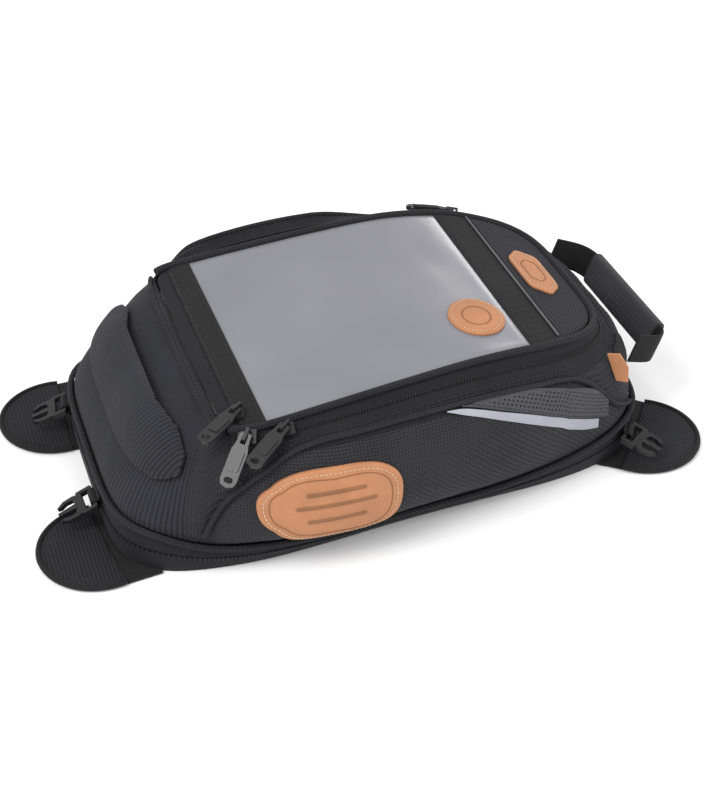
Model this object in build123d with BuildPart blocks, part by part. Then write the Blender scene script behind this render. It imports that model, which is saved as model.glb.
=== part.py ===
from build123d import *
from functools import lru_cache
import math
import os

os.makedirs("parts", exist_ok=True)

# Motorcycle tank bag. Millimetres, +Z up, origin on the ground at the centre of the
# base outline. -X is the front (handlebar) end, +X the rear (rider) end, -Y the
# rider's left side, +Y the rider's right side.
#
# A place on the wall is given by two numbers:
#   along  distance in mm on the spine, from the front centre round the left side
#          to the rear centre
#   level  ring number up the wall, 0 at the base to 6 at the lid rim

# ---------------------------------------------------------------- driving dimensions
BASE_FRONT, BASE_REAR = -215.0, 215.0      # base outline along X
RIM_FRONT, RIM_REAR = -136.0, 178.0        # lid outline along X
WALL = 3.0                                 # padded wall thickness
GUSSET_THICK = 1.6                         # cloth on both sides of the main zip
PATCH_THICK = 1.9                          # leather patches

# X stations of the tables in RINGS and of LID_Z
TABLE_X = (BASE_FRONT, -190.0, -150.0, -110.0, -60.0, 0.0, 60.0, 110.0, 150.0, 190.0, BASE_REAR)
# Outline rings of the wall, one per level. Each one holds: front x, rear x,
# half-widths, front corner exponent, rear corner exponent, heights.
RINGS = (
    (BASE_FRONT, BASE_REAR,
     (127, 127, 127.5, 128, 125, 120, 117.5, 117, 116, 114, 113), 5.5, 4.7,
     (0,) * 11),
    (-212, 213,
     (131, 131, 132, 134, 134, 131, 128, 124, 121, 118, 116), 5.0, 4.3,
     (38, 36, 24, 21, 20, 20, 20, 22, 26, 31, 33)),
    (-208, 212,
     (132, 134, 140, 147, 149.5, 146, 138, 129.5, 123.5, 118, 115), 4.2, 4.0,
     (52, 50, 42, 39, 38, 38, 38, 39, 42, 46, 47)),
    (-197, 209,
     (131, 133, 139, 148, 152, 149, 142, 132, 124, 117, 113), 4.0, 3.8,
     (66, 66, 65, 64, 64, 64, 64, 64, 65, 66, 66)),
    (-180, 202,
     (126, 129, 136, 145, 149, 147.5, 141, 131, 121, 112, 108), 4.2, 3.7,
     (81, 81, 82, 84, 86, 87, 87, 86, 85, 85, 85)),
    (-158, 193,
     (118, 119, 125, 134, 138, 136.5, 130, 121, 112, 103, 99), 4.6, 4.0,
     (97, 97, 98, 102, 107, 110.5, 109.5, 102, 94, 88, 87)),
    (RIM_FRONT, RIM_REAR,
     (112, 112, 112, 113, 112, 110, 107, 102.5, 97, 91, 88), 14.0, 4.6,
     (109, 109, 109, 109.5, 114, 119.5, 123.0, 119.5, 111.5, 102, 100)),
)
BASE_LEVEL, RIM_LEVEL = 0, 6
# height of the lid surface at TABLE_X
LID_Z = (108.2, 108.4, 109, 110.3, 115, 120.5, 124.0, 120.5, 112.5, 103, 101)

# Spine: left half of a rounded rectangle inside the bag. Wall sections stand square to it.
SPINE_FRONT, SPINE_REAR, SPINE_LEFT, SPINE_RADIUS = -150.0, 165.0, -95.0, 40.0
END_RUN = abs(SPINE_LEFT) - SPINE_RADIUS
CORNER_RUN = SPINE_RADIUS * math.pi / 2
SIDE_RUN = (SPINE_REAR - SPINE_RADIUS) - (SPINE_FRONT + SPINE_RADIUS)
SIDE_START = END_RUN + CORNER_RUN
SIDE_END = SIDE_START + SIDE_RUN
REAR_START = SIDE_END + CORNER_RUN
SPINE_END = REAR_START + END_RUN

# Seams and zip lines as levels
BASE_ZIP = 0.52                            # base zip in the lower band
BASE_ZIP_GAP = 0.02                        # from the base zip line to the cloth
BAND_TOP = 0.955                           # top of the lower band, where the piping runs
PANEL_LOW = 1.07                           # lower edge of the panels, above the piping
PANEL_TOP = 5.93                           # upper edge of the front panel and yoke fronts
GUSSET_LOW = 5.16                          # lower edge of the zip gusset
GUSSET_GAP = 0.03                          # below the gusset
MAIN_ZIP = 5.60                            # main zip line
MAIN_ZIP_GAP = 0.035                       # from the main zip line to the cloth
MAIN_COIL_OFFSET = 0.085                   # from the main zip line to a row of coil
SEAM_GAP = 0.05                            # each side of the curved side seam

# Seams and zip ends as distances along the spine
FRONT_SEAM = 89.0                          # front panel / yoke
YOKE_CORNER = 94.5                         # the yoke reaches down to the piping before this
REAR_SEAM = 404.0                          # side / rear panel
ZIP_START = 104.0                          # front end of the main zip
GUSSET_START = ZIP_START + 0.4
COIL_START = ZIP_START + 4

# curved seam between side panel and yoke: along, level
SIDE_SEAM_ALONG = (94, 98, 102.4, 109, 120, 145, 190, 228,
                   296, 328, 357, 368, 382, 390, 402)
SIDE_SEAM_LEVEL = (1.25, 2.3, 3.0, 3.75, 4.4, 4.93, 5.0, 5.0,
                   4.97, 4.93, 4.75, 4.0, 2.75, 2.1, 1.3)


# ---------------------------------------------------------------- wall surface
def hermite(start, start_slope, end, end_slope, u):
    return ((2 * u**3 - 3 * u**2 + 1) * start + (u**3 - 2 * u**2 + u) * start_slope
            + (-2 * u**3 + 3 * u**2) * end + (u**3 - u**2) * end_slope)


def interpolate(values, at, knots=TABLE_X):
    """Smooth interpolation through a table, held constant beyond its ends."""
    if at <= knots[0]:
        return float(values[0])
    if at >= knots[-1]:
        return float(values[-1])
    i = 0
    while at > knots[i + 1]:
        i += 1
    span = knots[i + 1] - knots[i]

    def slope(k):
        before, after = max(k - 1, 0), min(k + 1, len(knots) - 1)
        return (values[after] - values[before]) / (knots[after] - knots[before])

    return hermite(values[i], slope(i) * span, values[i + 1], slope(i + 1) * span,
                   (at - knots[i]) / span)


def spine(along):
    """Point on the spine and its outward direction: x, y, out_x, out_y."""
    if along <= END_RUN:
        return SPINE_FRONT, -along, -1.0, 0.0
    if along <= SIDE_START:
        angle = (along - END_RUN) / SPINE_RADIUS
        out_x, out_y = -math.cos(angle), -math.sin(angle)
        centre_x = SPINE_FRONT + SPINE_RADIUS
    elif along <= SIDE_END:
        return SPINE_FRONT + SPINE_RADIUS + (along - SIDE_START), SPINE_LEFT, 0.0, -1.0
    elif along <= REAR_START:
        angle = (along - SIDE_END) / SPINE_RADIUS
        out_x, out_y = math.sin(angle), -math.cos(angle)
        centre_x = SPINE_REAR - SPINE_RADIUS
    else:
        return SPINE_REAR, -(SPINE_END - along), 1.0, 0.0
    centre_y = SPINE_LEFT + SPINE_RADIUS
    return centre_x + SPINE_RADIUS * out_x, centre_y + SPINE_RADIUS * out_y, out_x, out_y


def outline_value(ring, x, y):
    """Below 1 inside the ring's outline, above 1 outside it."""
    front, rear, half_widths, front_exponent, rear_exponent, _ = ring
    middle = 0.5 * (front + rear)
    exponent = rear_exponent if x > middle else front_exponent
    u = abs((x - middle) / (rear - middle))
    v = abs(y) / interpolate(half_widths, min(max(x, front), rear))
    return u**exponent + v**exponent


def ring_point(ring, along):
    """Distance out from the spine, and height, where a wall section meets a ring."""
    x, y, out_x, out_y = spine(along)
    inside, outside = -45.0, 120.0
    for _ in range(44):
        middle = 0.5 * (inside + outside)
        if outline_value(ring, x + out_x * middle, y + out_y * middle) < 1.0:
            inside = middle
        else:
            outside = middle
    return inside, interpolate(ring[5], x + out_x * inside)


@lru_cache(maxsize=None)
def rings_at(along):
    return [ring_point(ring, along) for ring in RINGS]


def wall_point(along, level):
    """Wall surface as (distance out from the spine, z)."""
    rings = rings_at(along)
    if level <= 1.0:
        bow = 1.6 * math.sin(math.pi * max(level, 0.0))
        low, high = rings[0], rings[1]
        return (low[0] * (1 - level) + high[0] * level + bow,
                low[1] * (1 - level) + high[1] * level)
    i = min(int(level), 5)
    start, end = rings[i], rings[i + 1]
    if i > 1:
        before = rings[i - 1]
    else:
        before = (rings[1][0] * 1.6 - rings[2][0] * 0.6 + 1.0, rings[1][1] - 8.0)
    if i < 5:
        after = rings[i + 2]
    else:
        after = (2 * end[0] - start[0] - 2.0, 2 * end[1] - start[1] + 3.0)
    return tuple(hermite(start[j], 0.5 * (end[j] - before[j]),
                         end[j], 0.5 * (after[j] - start[j]), level - i) for j in (0, 1))


def wall_normal(along, level):
    """Outward normal in the section plane. It doesn't look across the fold at level 1."""
    step = 0.02
    low = max(level - step, 1.001) if level > 1.0 else max(level - step, 0.0)
    high = min(level + step, 6.0) if level >= 1.0 else min(level + step, 1.0)
    start, end = wall_point(along, low), wall_point(along, high)
    out, rise = end[0] - start[0], end[1] - start[1]
    length = math.hypot(out, rise) or 1.0
    return rise / length, -out / length


def off_wall(along, level, out, up=0.0):
    """Section point that lies out from the wall and up along it from a given level."""
    point, normal = wall_point(along, level), wall_normal(along, level)
    return (point[0] + normal[0] * out - normal[1] * up,
            point[1] + normal[1] * out + normal[0] * up)


def wall_frame(along, level, right_side):
    """World point on the wall, direction of increasing along, and outward normal."""
    side = -1 if right_side else 1

    def world(at_along, at_level):
        x, y, out_x, out_y = spine(at_along)
        out, z = wall_point(at_along, at_level)
        return Vector(x + out_x * out, side * (y + out_y * out), z)

    travel = (world(along + 1, level) - world(along - 1, level)).normalized()
    rise = (world(along, level + 0.05) - world(along, level - 0.05)).normalized()
    normal = travel.cross(rise).normalized()
    _, _, out_x, out_y = spine(along)
    if normal.dot(Vector(out_x, side * out_y, 0.8)) < 0:
        normal = normal * -1
    return world(along, level), travel, normal


# ---------------------------------------------------------------- sections and lofts
def section_plane(along):
    # local x points out of the bag, local y points up
    x, y, out_x, out_y = spine(along)
    return Plane(origin=(x, y, 0), x_dir=(out_x, out_y, 0), z_dir=(out_y, -out_x, 0))


def stations(start, end, steps):
    """Even steps, or for 0 steps a grid that is close round the corners."""
    if steps:
        return [start + (end - start) * i / steps for i in range(steps + 1)]
    grid = [0.0, 28.0]
    grid += [END_RUN + CORNER_RUN * i / 6 for i in range(7)]
    grid += [SIDE_START + SIDE_RUN * i / 8 for i in range(1, 9)]
    grid += [SIDE_END + CORNER_RUN * i / 6 for i in range(1, 7)]
    grid += [SPINE_END - 28.0, SPINE_END]
    return [start] + [place for place in grid if start + 3.0 < place < end - 3.0] + [end]


def loft_along(start, end, section, steps=0):
    with BuildPart() as builder:
        for along in stations(start, end, steps):
            with BuildSketch(section_plane(along)):
                with BuildLine():
                    Polyline(*section(along), close=True)
                make_face()
        loft(ruled=True)
    return builder.part


def wall_strip(start, end, bottom, top, thickness=WALL, lift=0.0, rows=5, steps=0):
    """Strip of the left wall. Bottom and top are levels, or functions of along."""
    def section(along):
        low = bottom(along) if callable(bottom) else bottom
        high = top(along) if callable(top) else top
        levels = [low + (high - low) * i / rows for i in range(rows + 1)]
        outer = [off_wall(along, level, lift) for level in levels]
        inner = [off_wall(along, level, lift - thickness) for level in levels]
        return outer + inner[::-1]

    return loft_along(start, end, section, steps)


def circle_points(centre, radius, count):
    angles = [2 * math.pi * i / count for i in range(count)]
    return [(centre[0] + radius * math.cos(angle), centre[1] + radius * math.sin(angle))
            for angle in angles]


def coil_strip(start, level, width, thickness):
    """Flat bar of zip coil on the wall, as far as the rear centre."""
    low, high = 0.3, 0.3 + thickness
    corners = ((low, -width / 2), (low, width / 2), (high, width / 2), (high, -width / 2))
    return loft_along(start, SPINE_END,
                      lambda along: [off_wall(along, level, out, up) for out, up in corners])


def flipped(points):
    """The points mirrored in y, in reverse order."""
    return [(x, -y) for x, y in reversed(points)]


def ring_outline(level, inset, steps):
    """Plan outline of a ring, drawn in by an inset."""
    half = []
    for i in range(steps + 1):
        along = SPINE_END * i / steps
        x, y, out_x, out_y = spine(along)
        out = rings_at(along)[level][0] - inset
        half.append((x + out_x * out, y + out_y * out))
    return half + flipped(half[1:-1])


# ---------------------------------------------------------------- saving pieces
def save(part, name):
    part.label = name
    export_step(part, f"parts/{name}.step")


def save_joined(half, name):
    """One piece from a left half that meets its mirror image on the centre plane."""
    with BuildPart() as whole:
        add(half)
        mirror(about=Plane.XZ)
    save(whole.part, name)


def save_pair(left, name):
    """One file with a left piece and its separate right twin."""
    with BuildPart() as pair:
        add(left)
        add(mirror(left, about=Plane.XZ))
    save(pair.part, name)


def save_left_right(strips, name):
    """A left and a right file, each made of the same strips."""
    for side, flip in (("left", False), ("right", True)):
        with BuildPart() as piece:
            for strip in strips:
                add(mirror(strip, about=Plane.XZ) if flip else strip)
        save(piece.part, f"{name}_{side}")


# ================================================================ base assembly
def save_base_sheet(name, inset, bottom, thickness):
    with BuildPart() as sheet:
        with BuildSketch(Plane.XY.offset(bottom)):
            with BuildLine():
                Polyline(*ring_outline(BASE_LEVEL, inset, 36), close=True)
            make_face()
        extrude(amount=thickness)
    save(sheet.part, name)


# rubber-backed cloth that lies on the tank, and the stiff board above it
save_base_sheet("base_panel", inset=WALL + 1.9, bottom=0.0, thickness=3.0)
save_base_sheet("base_board", inset=16.0, bottom=3.2, thickness=2.0)

# lower band from the ground to the base zip, and the coil, all round
save_joined(wall_strip(0, SPINE_END, 0.0, BASE_ZIP - BASE_ZIP_GAP, rows=2), "base_band")
save_joined(coil_strip(0, BASE_ZIP - 0.10, width=2.53, thickness=1.7), "base_zip_coil")

# ================================================================ bag body
# lower band above the base zip
save_joined(wall_strip(0, SPINE_END, BASE_ZIP + BASE_ZIP_GAP, BAND_TOP, rows=2), "body_band")

# covered piping between the band and the panels, all round
PIPING_RADIUS = 2.4
save_joined(loft_along(0, SPINE_END, lambda along: circle_points(
    off_wall(along, BAND_TOP, PIPING_RADIUS + 0.9), PIPING_RADIUS, 8)), "lower_piping")

# front panel, from the lower piping up to the lid hinge seam
save_joined(wall_strip(0, FRONT_SEAM, PANEL_LOW, PANEL_TOP, rows=8), "front_panel")


def side_seam(along):
    return interpolate(SIDE_SEAM_LEVEL, along, SIDE_SEAM_ALONG)


# side panels below the curved seam
save_left_right([wall_strip(95.0, REAR_SEAM - 3.0, PANEL_LOW,
                            lambda along: side_seam(along) - SEAM_GAP, rows=7)], "side_panel")


def yoke_low(along):
    return side_seam(max(along, 94.6)) + SEAM_GAP


# yokes: the band of cloth between the curved seam and the zip gusset
YOKE_STEP = ZIP_START - 0.4                # behind this the yoke ends below the gusset
save_left_right([
    wall_strip(FRONT_SEAM + 0.6, YOKE_CORNER, PANEL_LOW, PANEL_TOP, rows=8, steps=1),
    wall_strip(YOKE_CORNER, YOKE_STEP, yoke_low, PANEL_TOP, rows=8, steps=3),
    wall_strip(YOKE_STEP, REAR_SEAM - 1.0, yoke_low, GUSSET_LOW - GUSSET_GAP, rows=4),
], "yoke")

# rear panel
save_joined(wall_strip(REAR_SEAM, SPINE_END, PANEL_LOW, GUSSET_LOW - GUSSET_GAP, rows=7),
            "rear_panel")

# piping along the two curved side seams
save_pair(loft_along(96.5, REAR_SEAM - 6.0, lambda along: circle_points(
    off_wall(along, side_seam(along), 2.35), 1.9, 6), steps=30), "side_piping")

# lower half of the main zip gusset, with its row of coil
MAIN_COIL = dict(width=1.7, thickness=1.3)
save_joined(wall_strip(GUSSET_START, SPINE_END, GUSSET_LOW, MAIN_ZIP - MAIN_ZIP_GAP,
                       GUSSET_THICK, rows=2), "zip_gusset_lower")
save_joined(coil_strip(COIL_START, MAIN_ZIP - MAIN_COIL_OFFSET, **MAIN_COIL), "zip_coil_lower")

# lower edges of the perforated leaf and of the reflective strip under it: along, level
LEAF_ALONG = (272, 296, 320, 345, 362, 376, 386)
LEAF_LEVEL = (4.85, 4.42, 4.05, 3.62, 3.05, 2.45, 1.95)
REFLECTIVE_ALONG = (246, 266, 290, 318, 342, 360, 374, 384)
REFLECTIVE_LEVEL = (4.82, 4.70, 4.22, 3.62, 3.05, 2.42, 1.85, 1.50)


def leaf_low(along):
    return interpolate(LEAF_LEVEL, along, LEAF_ALONG)


def reflective_top(along):
    # under the leaf, or under the side seam in front of the leaf
    if along > LEAF_ALONG[0]:
        return leaf_low(along) - 0.01
    return min(4.88, side_seam(along) - 0.1) - 0.01


save_pair(wall_strip(277, 381, lambda along: leaf_low(along) + 0.04,
                     lambda along: side_seam(along) - 0.21,
                     thickness=1.3, lift=1.8, rows=4, steps=14), "perforated_panels")
save_pair(wall_strip(250, 379,
                     lambda along: interpolate(REFLECTIVE_LEVEL, along, REFLECTIVE_ALONG),
                     reflective_top, thickness=0.8, lift=1.2, rows=3, steps=16),
          "reflective_strips")

# leather badges on the side panels
BADGE_START, BADGE_END = 113.0, 212.0


def badge_middle(along):
    return 2.95 - 0.05 * (along - 162) / 50


def badge_half_height(along):
    middle, half_length = 0.5 * (BADGE_START + BADGE_END), 0.5 * (BADGE_END - BADGE_START)
    u = abs((along - middle) / half_length)
    return 1.18 * (1 - u**3.2) ** 0.5 + 0.12


save_pair(wall_strip(BADGE_START, BADGE_END,
                     lambda along: badge_middle(along) - badge_half_height(along),
                     lambda along: badge_middle(along) + badge_half_height(along),
                     PATCH_THICK, lift=PATCH_THICK + 0.7, rows=5, steps=16), "side_badges")

# folded leather tag standing out of the left wall beside the near end of the carry handle
TAG_ALONG, TAG_LEVEL = 389.0, 3.8
TAG_OUTLINE = ((0.6, -12), (9, -15), (13, -3), (10, 10), (0.8, 12))  # out, up the wall
with BuildPart() as rear_tag:
    with BuildSketch(section_plane(TAG_ALONG)):
        with BuildLine():
            Polyline(*[off_wall(TAG_ALONG, TAG_LEVEL, out, up) for out, up in TAG_OUTLINE],
                     close=True)
        make_face()
    extrude(amount=1.1, both=True)
save(rear_tag.part, "rear_tag")

# thin cloth tube inside the walls
save_joined(wall_strip(0, SPINE_END, 2.6, 4.5, thickness=0.9, lift=-WALL - 1.2, rows=6),
            "inner_lining")

# padded grab handle across the front panel, standing clear of it
save_joined(wall_strip(0, 78, 3.30, 4.85, thickness=6.0, lift=10.5, rows=4), "grab_handle")

# ================================================================ lid
# upper half of the main zip gusset, with its row of coil
save_joined(wall_strip(GUSSET_START, SPINE_END, MAIN_ZIP + MAIN_ZIP_GAP, 5.85,
                       GUSSET_THICK, rows=1), "zip_gusset_upper")
save_joined(coil_strip(COIL_START, MAIN_ZIP + MAIN_COIL_OFFSET, **MAIN_COIL), "zip_coil_upper")


def rim_piping_section(along):
    out, z = rings_at(along)[RIM_LEVEL]
    return circle_points((out, z + 1.2), 3.0, 8)


save_joined(loft_along(GUSSET_START, SPINE_END, rim_piping_section), "lid_piping")


def lid_z(x):
    return interpolate(LID_Z, x)


def curved_slab(x_start, x_end, top, bottom, outline, steps):
    """Slab that follows the lid surface; top and bottom are heights above it."""
    xs = [x_start + (x_end - x_start) * i / steps for i in range(steps + 1)]
    profile = [(x, lid_z(x) + top) for x in xs] + [(x, lid_z(x) + bottom) for x in xs[::-1]]
    with BuildPart() as slab:
        with BuildSketch(Plane.XZ):
            with BuildLine():
                Polyline(*profile, close=True)
            make_face()
        extrude(amount=125, both=True)
        with BuildSketch(Plane.XY.offset(60)):
            with BuildLine():
                Polyline(*outline, close=True)
            make_face()
        extrude(amount=100, mode=Mode.INTERSECT)
    return slab.part


LINER_TOP, LINER_THICK = -0.9, 2.6
COVER_BOTTOM = -0.75                       # underside of all pieces on the liner
WINDOW_TOP = COVER_BOTTOM + 0.8            # film 0.8 thick
REAR_LID_TOP = 1.6
LID_INSET = 4.3
# X of the joins across the lid, front to rear
MAP_TAPE_X, MAP_ZIP_X, WINDOW_FRONT_X, WINDOW_REAR_X, REAR_LID_X = -133.5, -119.0, -101.5, 103.5, 128.5
# name, front x, rear x, top, bottom, inset from the rim
LID_SLABS = (
    ("lid_panel", RIM_FRONT + 1.0, RIM_REAR, LINER_TOP, LINER_TOP - LINER_THICK, LID_INSET),
    ("map_zip_tape", MAP_TAPE_X, MAP_ZIP_X - 0.3, 0.4, COVER_BOTTOM, LID_INSET),
    ("front_strip", MAP_ZIP_X + 0.3, WINDOW_FRONT_X - 0.2, 0.9, COVER_BOTTOM, LID_INSET),
    ("window_film", WINDOW_FRONT_X + 0.2, WINDOW_REAR_X - 0.2, WINDOW_TOP, COVER_BOTTOM, 4.6),
    ("rear_strip", WINDOW_REAR_X + 0.2, REAR_LID_X - 0.2, 0.9, COVER_BOTTOM, LID_INSET),
    ("rear_lid_panel", REAR_LID_X + 0.2, RIM_REAR, REAR_LID_TOP, COVER_BOTTOM, LID_INSET),
)
for name, front_x, rear_x, top, bottom, inset in LID_SLABS:
    outline = ring_outline(RIM_LEVEL, inset, 40)
    save(curved_slab(front_x, rear_x, top, bottom, outline, 22), name)


def save_lid_patch(name, centre_x, centre_y, shape, surface):
    """Leather patch just above a lid piece whose top is at height surface."""
    outline = [(centre_x + x, centre_y + y) for x, y in shape]
    xs = [x for x, _ in outline]
    bottom = surface + 0.25
    save(curved_slab(min(xs) - 2, max(xs) + 2, bottom + PATCH_THICK, bottom, outline, 8), name)


OVAL = [(21.0 * math.cos(2 * math.pi * i / 28), 24.5 * math.sin(2 * math.pi * i / 28))
        for i in range(28)]
HEXAGON = ((-12.5, -22), (1, -34), (12.5, -22), (12.5, 22), (-1, 34), (-12.5, 22))
save_lid_patch("window_patch", 78.0, -55.0, OVAL, WINDOW_TOP)
save_lid_patch("lid_badge", 150.0, 1.0, HEXAGON, REAR_LID_TOP)

# ================================================================ zip sliders
PIN_HEIGHT = 6.0                           # pull pin above the underside of the slider
SLIDER_HALF = [(-6.5, -2.9), (2, -5.1), (6.5, -5.1)]  # x along the zip
ARCH_WIDTH = 2.4
POST_X, POST_LENGTH = 3.9, 1.8             # posts of the arch that traps the pull's pin
PULL_LENGTH = 39.0
PULL_HALF = [(-1.0, -4.0), (7.0, -4.6), (12, -6.1),
             (PULL_LENGTH - 5, -6.1), (PULL_LENGTH - 1.4, -4.6)]


def save_slider(name, point, travel, normal, arch):
    """Wedge-shaped plate with an arch along the tab's direction."""
    arch_plane = Plane(origin=point, x_dir=arch, z_dir=normal)
    with BuildPart() as slider:
        with BuildSketch(Plane(origin=point, x_dir=travel, z_dir=normal)):
            with BuildLine():
                Polyline(*SLIDER_HALF, *flipped(SLIDER_HALF), close=True)
            make_face()
        extrude(amount=2.6)
        with BuildSketch(arch_plane.offset(2.0)):
            with Locations((-POST_X, 0), (POST_X, 0)):
                Rectangle(POST_LENGTH, ARCH_WIDTH)
        extrude(amount=5.6)
        with BuildSketch(arch_plane.offset(7.5)):
            Rectangle(2 * POST_X + POST_LENGTH, ARCH_WIDTH)
        extrude(amount=1.2)
    save(slider.part, name)


def save_pull(name, plane):
    """Pull tab: plane origin on its pin, tab along the plane's +x."""
    with BuildPart() as pull:
        with BuildSketch(plane):
            with BuildLine():
                Polyline(*PULL_HALF, (PULL_LENGTH, 0), *flipped(PULL_HALF), close=True)
            make_face()
            with Locations((4.0, 0)):
                Rectangle(6.0, 4.0, mode=Mode.SUBTRACT)
            with Locations((PULL_LENGTH - 5.4, 0)):
                SlotOverall(6.6, 4.2, rotation=90, mode=Mode.SUBTRACT)
        extrude(amount=1.0, both=True)
        # raised pad in the middle of the tab
        with BuildSketch(plane.offset(1.0)):
            with Locations((PULL_LENGTH / 2, 0)):
                RectangleRounded(15.0, 8.4, 1.5)
        extrude(amount=0.9)
    save(pull.part, name)


def save_zip(name, point, travel, normal, tab_dir, droop):
    """Slider and pull. The tab lies along tab_dir, tipped to the cloth by droop degrees."""
    tab_dir = Vector(*tab_dir)
    flat = (tab_dir - normal * tab_dir.dot(normal)).normalized()
    save_slider(name + "_slider", point, travel, normal, flat)
    cosine, sine = math.cos(math.radians(droop)), math.sin(math.radians(droop))
    save_pull(name + "_pull", Plane(origin=point + normal * PIN_HEIGHT,
                                    x_dir=flat * cosine - normal * sine,
                                    z_dir=normal * cosine + flat * sine))


# name, along, level, on the right side, tab direction, droop, lift off the wall
WALL_ZIPS = (
    ("main_zip_front", 113.0, MAIN_ZIP - 0.06, False, (-0.5, -0.5, -0.46), 8.0, 2.1),
    ("main_zip_rear", 136.0, MAIN_ZIP - 0.04, False, (-0.75, -0.45, -0.5), 6.0, 2.1),
    ("main_zip_right", 350.0, MAIN_ZIP, True, (-0.9, 0.1, 0.0), 4.0, 2.1),
    ("base_zip", 462.0, BASE_ZIP - 0.06, True, (0.0, 0.9, 0.1), 2.0, 2.6),
)
for name, along, level, right_side, tab_dir, droop, lift in WALL_ZIPS:
    point, travel, normal = wall_frame(along, level, right_side)
    save_zip(name, point + normal * lift, travel, normal, tab_dir, droop)
# map pocket slider on the lid, near the left end of its zip
save_zip("map_zip", Vector(MAP_ZIP_X, -95.0, lid_z(MAP_ZIP_X) + 1.5), Vector(0, 1, 0),
         Vector(0, 0, 1), (-0.82, -0.57, 0.0), 9.0)

# ================================================================ carry handle
# webbing loop on the rear panel, its width upright, with a wrapped grip
STRAP_WIDTH, STRAP_THICK = 25.0, 2.0
LOOP_X, LOOP_Z = 200.5, 81.0               # hinge line of the loop
LOOP_HALF = 76.0                           # half the loop's span in Y
LOOP_OUT, LOOP_DROP = 33.0, 12.0           # reach to the rear, and fall over that reach
GRIP_HALF = 56.0
LOOP_ROOT = 3.4                            # where the webbing starts, out from the hinge
LOOP_REACH = math.hypot(LOOP_OUT, LOOP_DROP)
# local x runs out along the loop, local y is +Y
loop_plane = Plane(origin=(LOOP_X, 0, LOOP_Z), x_dir=(LOOP_OUT, 0, -LOOP_DROP),
                   z_dir=(LOOP_DROP, 0, LOOP_OUT))
outer_half = [(LOOP_ROOT, -LOOP_HALF), (LOOP_REACH - 9, -LOOP_HALF + 3),
              (LOOP_REACH - 1, -LOOP_HALF + 13), (LOOP_REACH, -GRIP_HALF)]
inner_half = [(LOOP_ROOT, LOOP_HALF - STRAP_THICK),
              (LOOP_REACH - 10, LOOP_HALF - 3 - STRAP_THICK),
              (LOOP_REACH - 1 - STRAP_THICK, LOOP_HALF - 13.6),
              (LOOP_REACH - STRAP_THICK, GRIP_HALF)]
with BuildPart() as carry_webbing:
    with BuildSketch(loop_plane.offset(-STRAP_WIDTH / 2)):
        with BuildLine():
            Polyline(*outer_half, *flipped(outer_half), *inner_half, *flipped(inner_half),
                     close=True)
        make_face()
    extrude(amount=STRAP_WIDTH)
save(carry_webbing.part, "carry_webbing")

GRIP_CLEAR = 0.3                           # between the webbing and the grip
GRIP_PAD = 4.6                             # thickness outside and inside the webbing
GRIP_OVERHANG = 1.5                        # past each edge of the webbing
GRIP_LENGTH = 2 * GRIP_HALF - 2
PAD_OFFSET = GRIP_CLEAR + GRIP_PAD / 2
with BuildPart() as carry_grip:
    with BuildSketch(loop_plane.offset(-STRAP_WIDTH / 2 - GRIP_OVERHANG)):
        with Locations((LOOP_REACH + PAD_OFFSET, 0)):
            Rectangle(GRIP_PAD, GRIP_LENGTH)
        with Locations((LOOP_REACH - STRAP_THICK - PAD_OFFSET, 0)):
            Rectangle(GRIP_PAD, GRIP_LENGTH)
    extrude(amount=STRAP_WIDTH + 2 * GRIP_OVERHANG)
    # upper and lower bridges that join the two pads
    for bridge_start in (STRAP_WIDTH / 2 + GRIP_CLEAR, -STRAP_WIDTH / 2 - GRIP_OVERHANG):
        with BuildSketch(loop_plane.offset(bridge_start)):
            with Locations((LOOP_REACH - STRAP_THICK / 2, 0)):
                Rectangle(9.8, GRIP_LENGTH)
        extrude(amount=GRIP_OVERHANG - GRIP_CLEAR)
save(carry_grip.part, "carry_grip")

# webbing anchors sewn on the rear corners
save_pair(wall_strip(396.5, 412.0, 3.15, 4.35, thickness=1.6, lift=2.1, rows=3, steps=2),
          "handle_anchors")

# ================================================================ magnetic flaps
FLAP_RADIUS, FLAP_THICK = 46.0, 5.0
FLAP_REACH = 9.0                           # flap circle centre beyond its hinge
FLAP_GAP = 1.6                             # hinge line beyond the base outline
FLAP_Z = 0.4
MAGNET_RADIUS, MAGNET_THICK = 11.0, 2.6
MAGNET_PLACES = ((21, -18), (21, 18))      # from the hinge centre
# name, outward direction in degrees, sideways offset of the centre
FLAPS = (("front_left", 186.0, 52.5), ("front_right", 177.0, -77.0),
         ("rear_left", -38.0, 60.0), ("rear_right", 38.0, -60.0))


def save_flap(name, plane):
    with BuildPart() as flap:
        with BuildSketch(plane):
            with Locations((FLAP_REACH, 0)):
                Circle(FLAP_RADIUS)
            # cut off everything behind the hinge line
            with Locations((-60, 0)):
                Rectangle(120, 200, mode=Mode.SUBTRACT)
        extrude(amount=FLAP_THICK)
        with BuildSketch(plane.offset(1.2)):
            with Locations(*MAGNET_PLACES):
                Circle(MAGNET_RADIUS + 0.3)
        extrude(amount=MAGNET_THICK + 0.2, mode=Mode.SUBTRACT)
    save(flap.part, "flap_" + name)


def save_magnets(name, plane):
    with BuildPart() as magnets:
        with BuildSketch(plane.offset(1.3)):
            with Locations(*MAGNET_PLACES):
                Circle(MAGNET_RADIUS)
        extrude(amount=MAGNET_THICK)
    save(magnets.part, "magnets_" + name)


def flap_hinge(plane):
    """Short webbing between the base and a flap."""
    with BuildPart() as hinge:
        with BuildSketch(plane):
            with Locations((-0.75, 0)):
                Rectangle(0.8, 56)
        extrude(amount=1.2)
    return hinge.part


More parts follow.
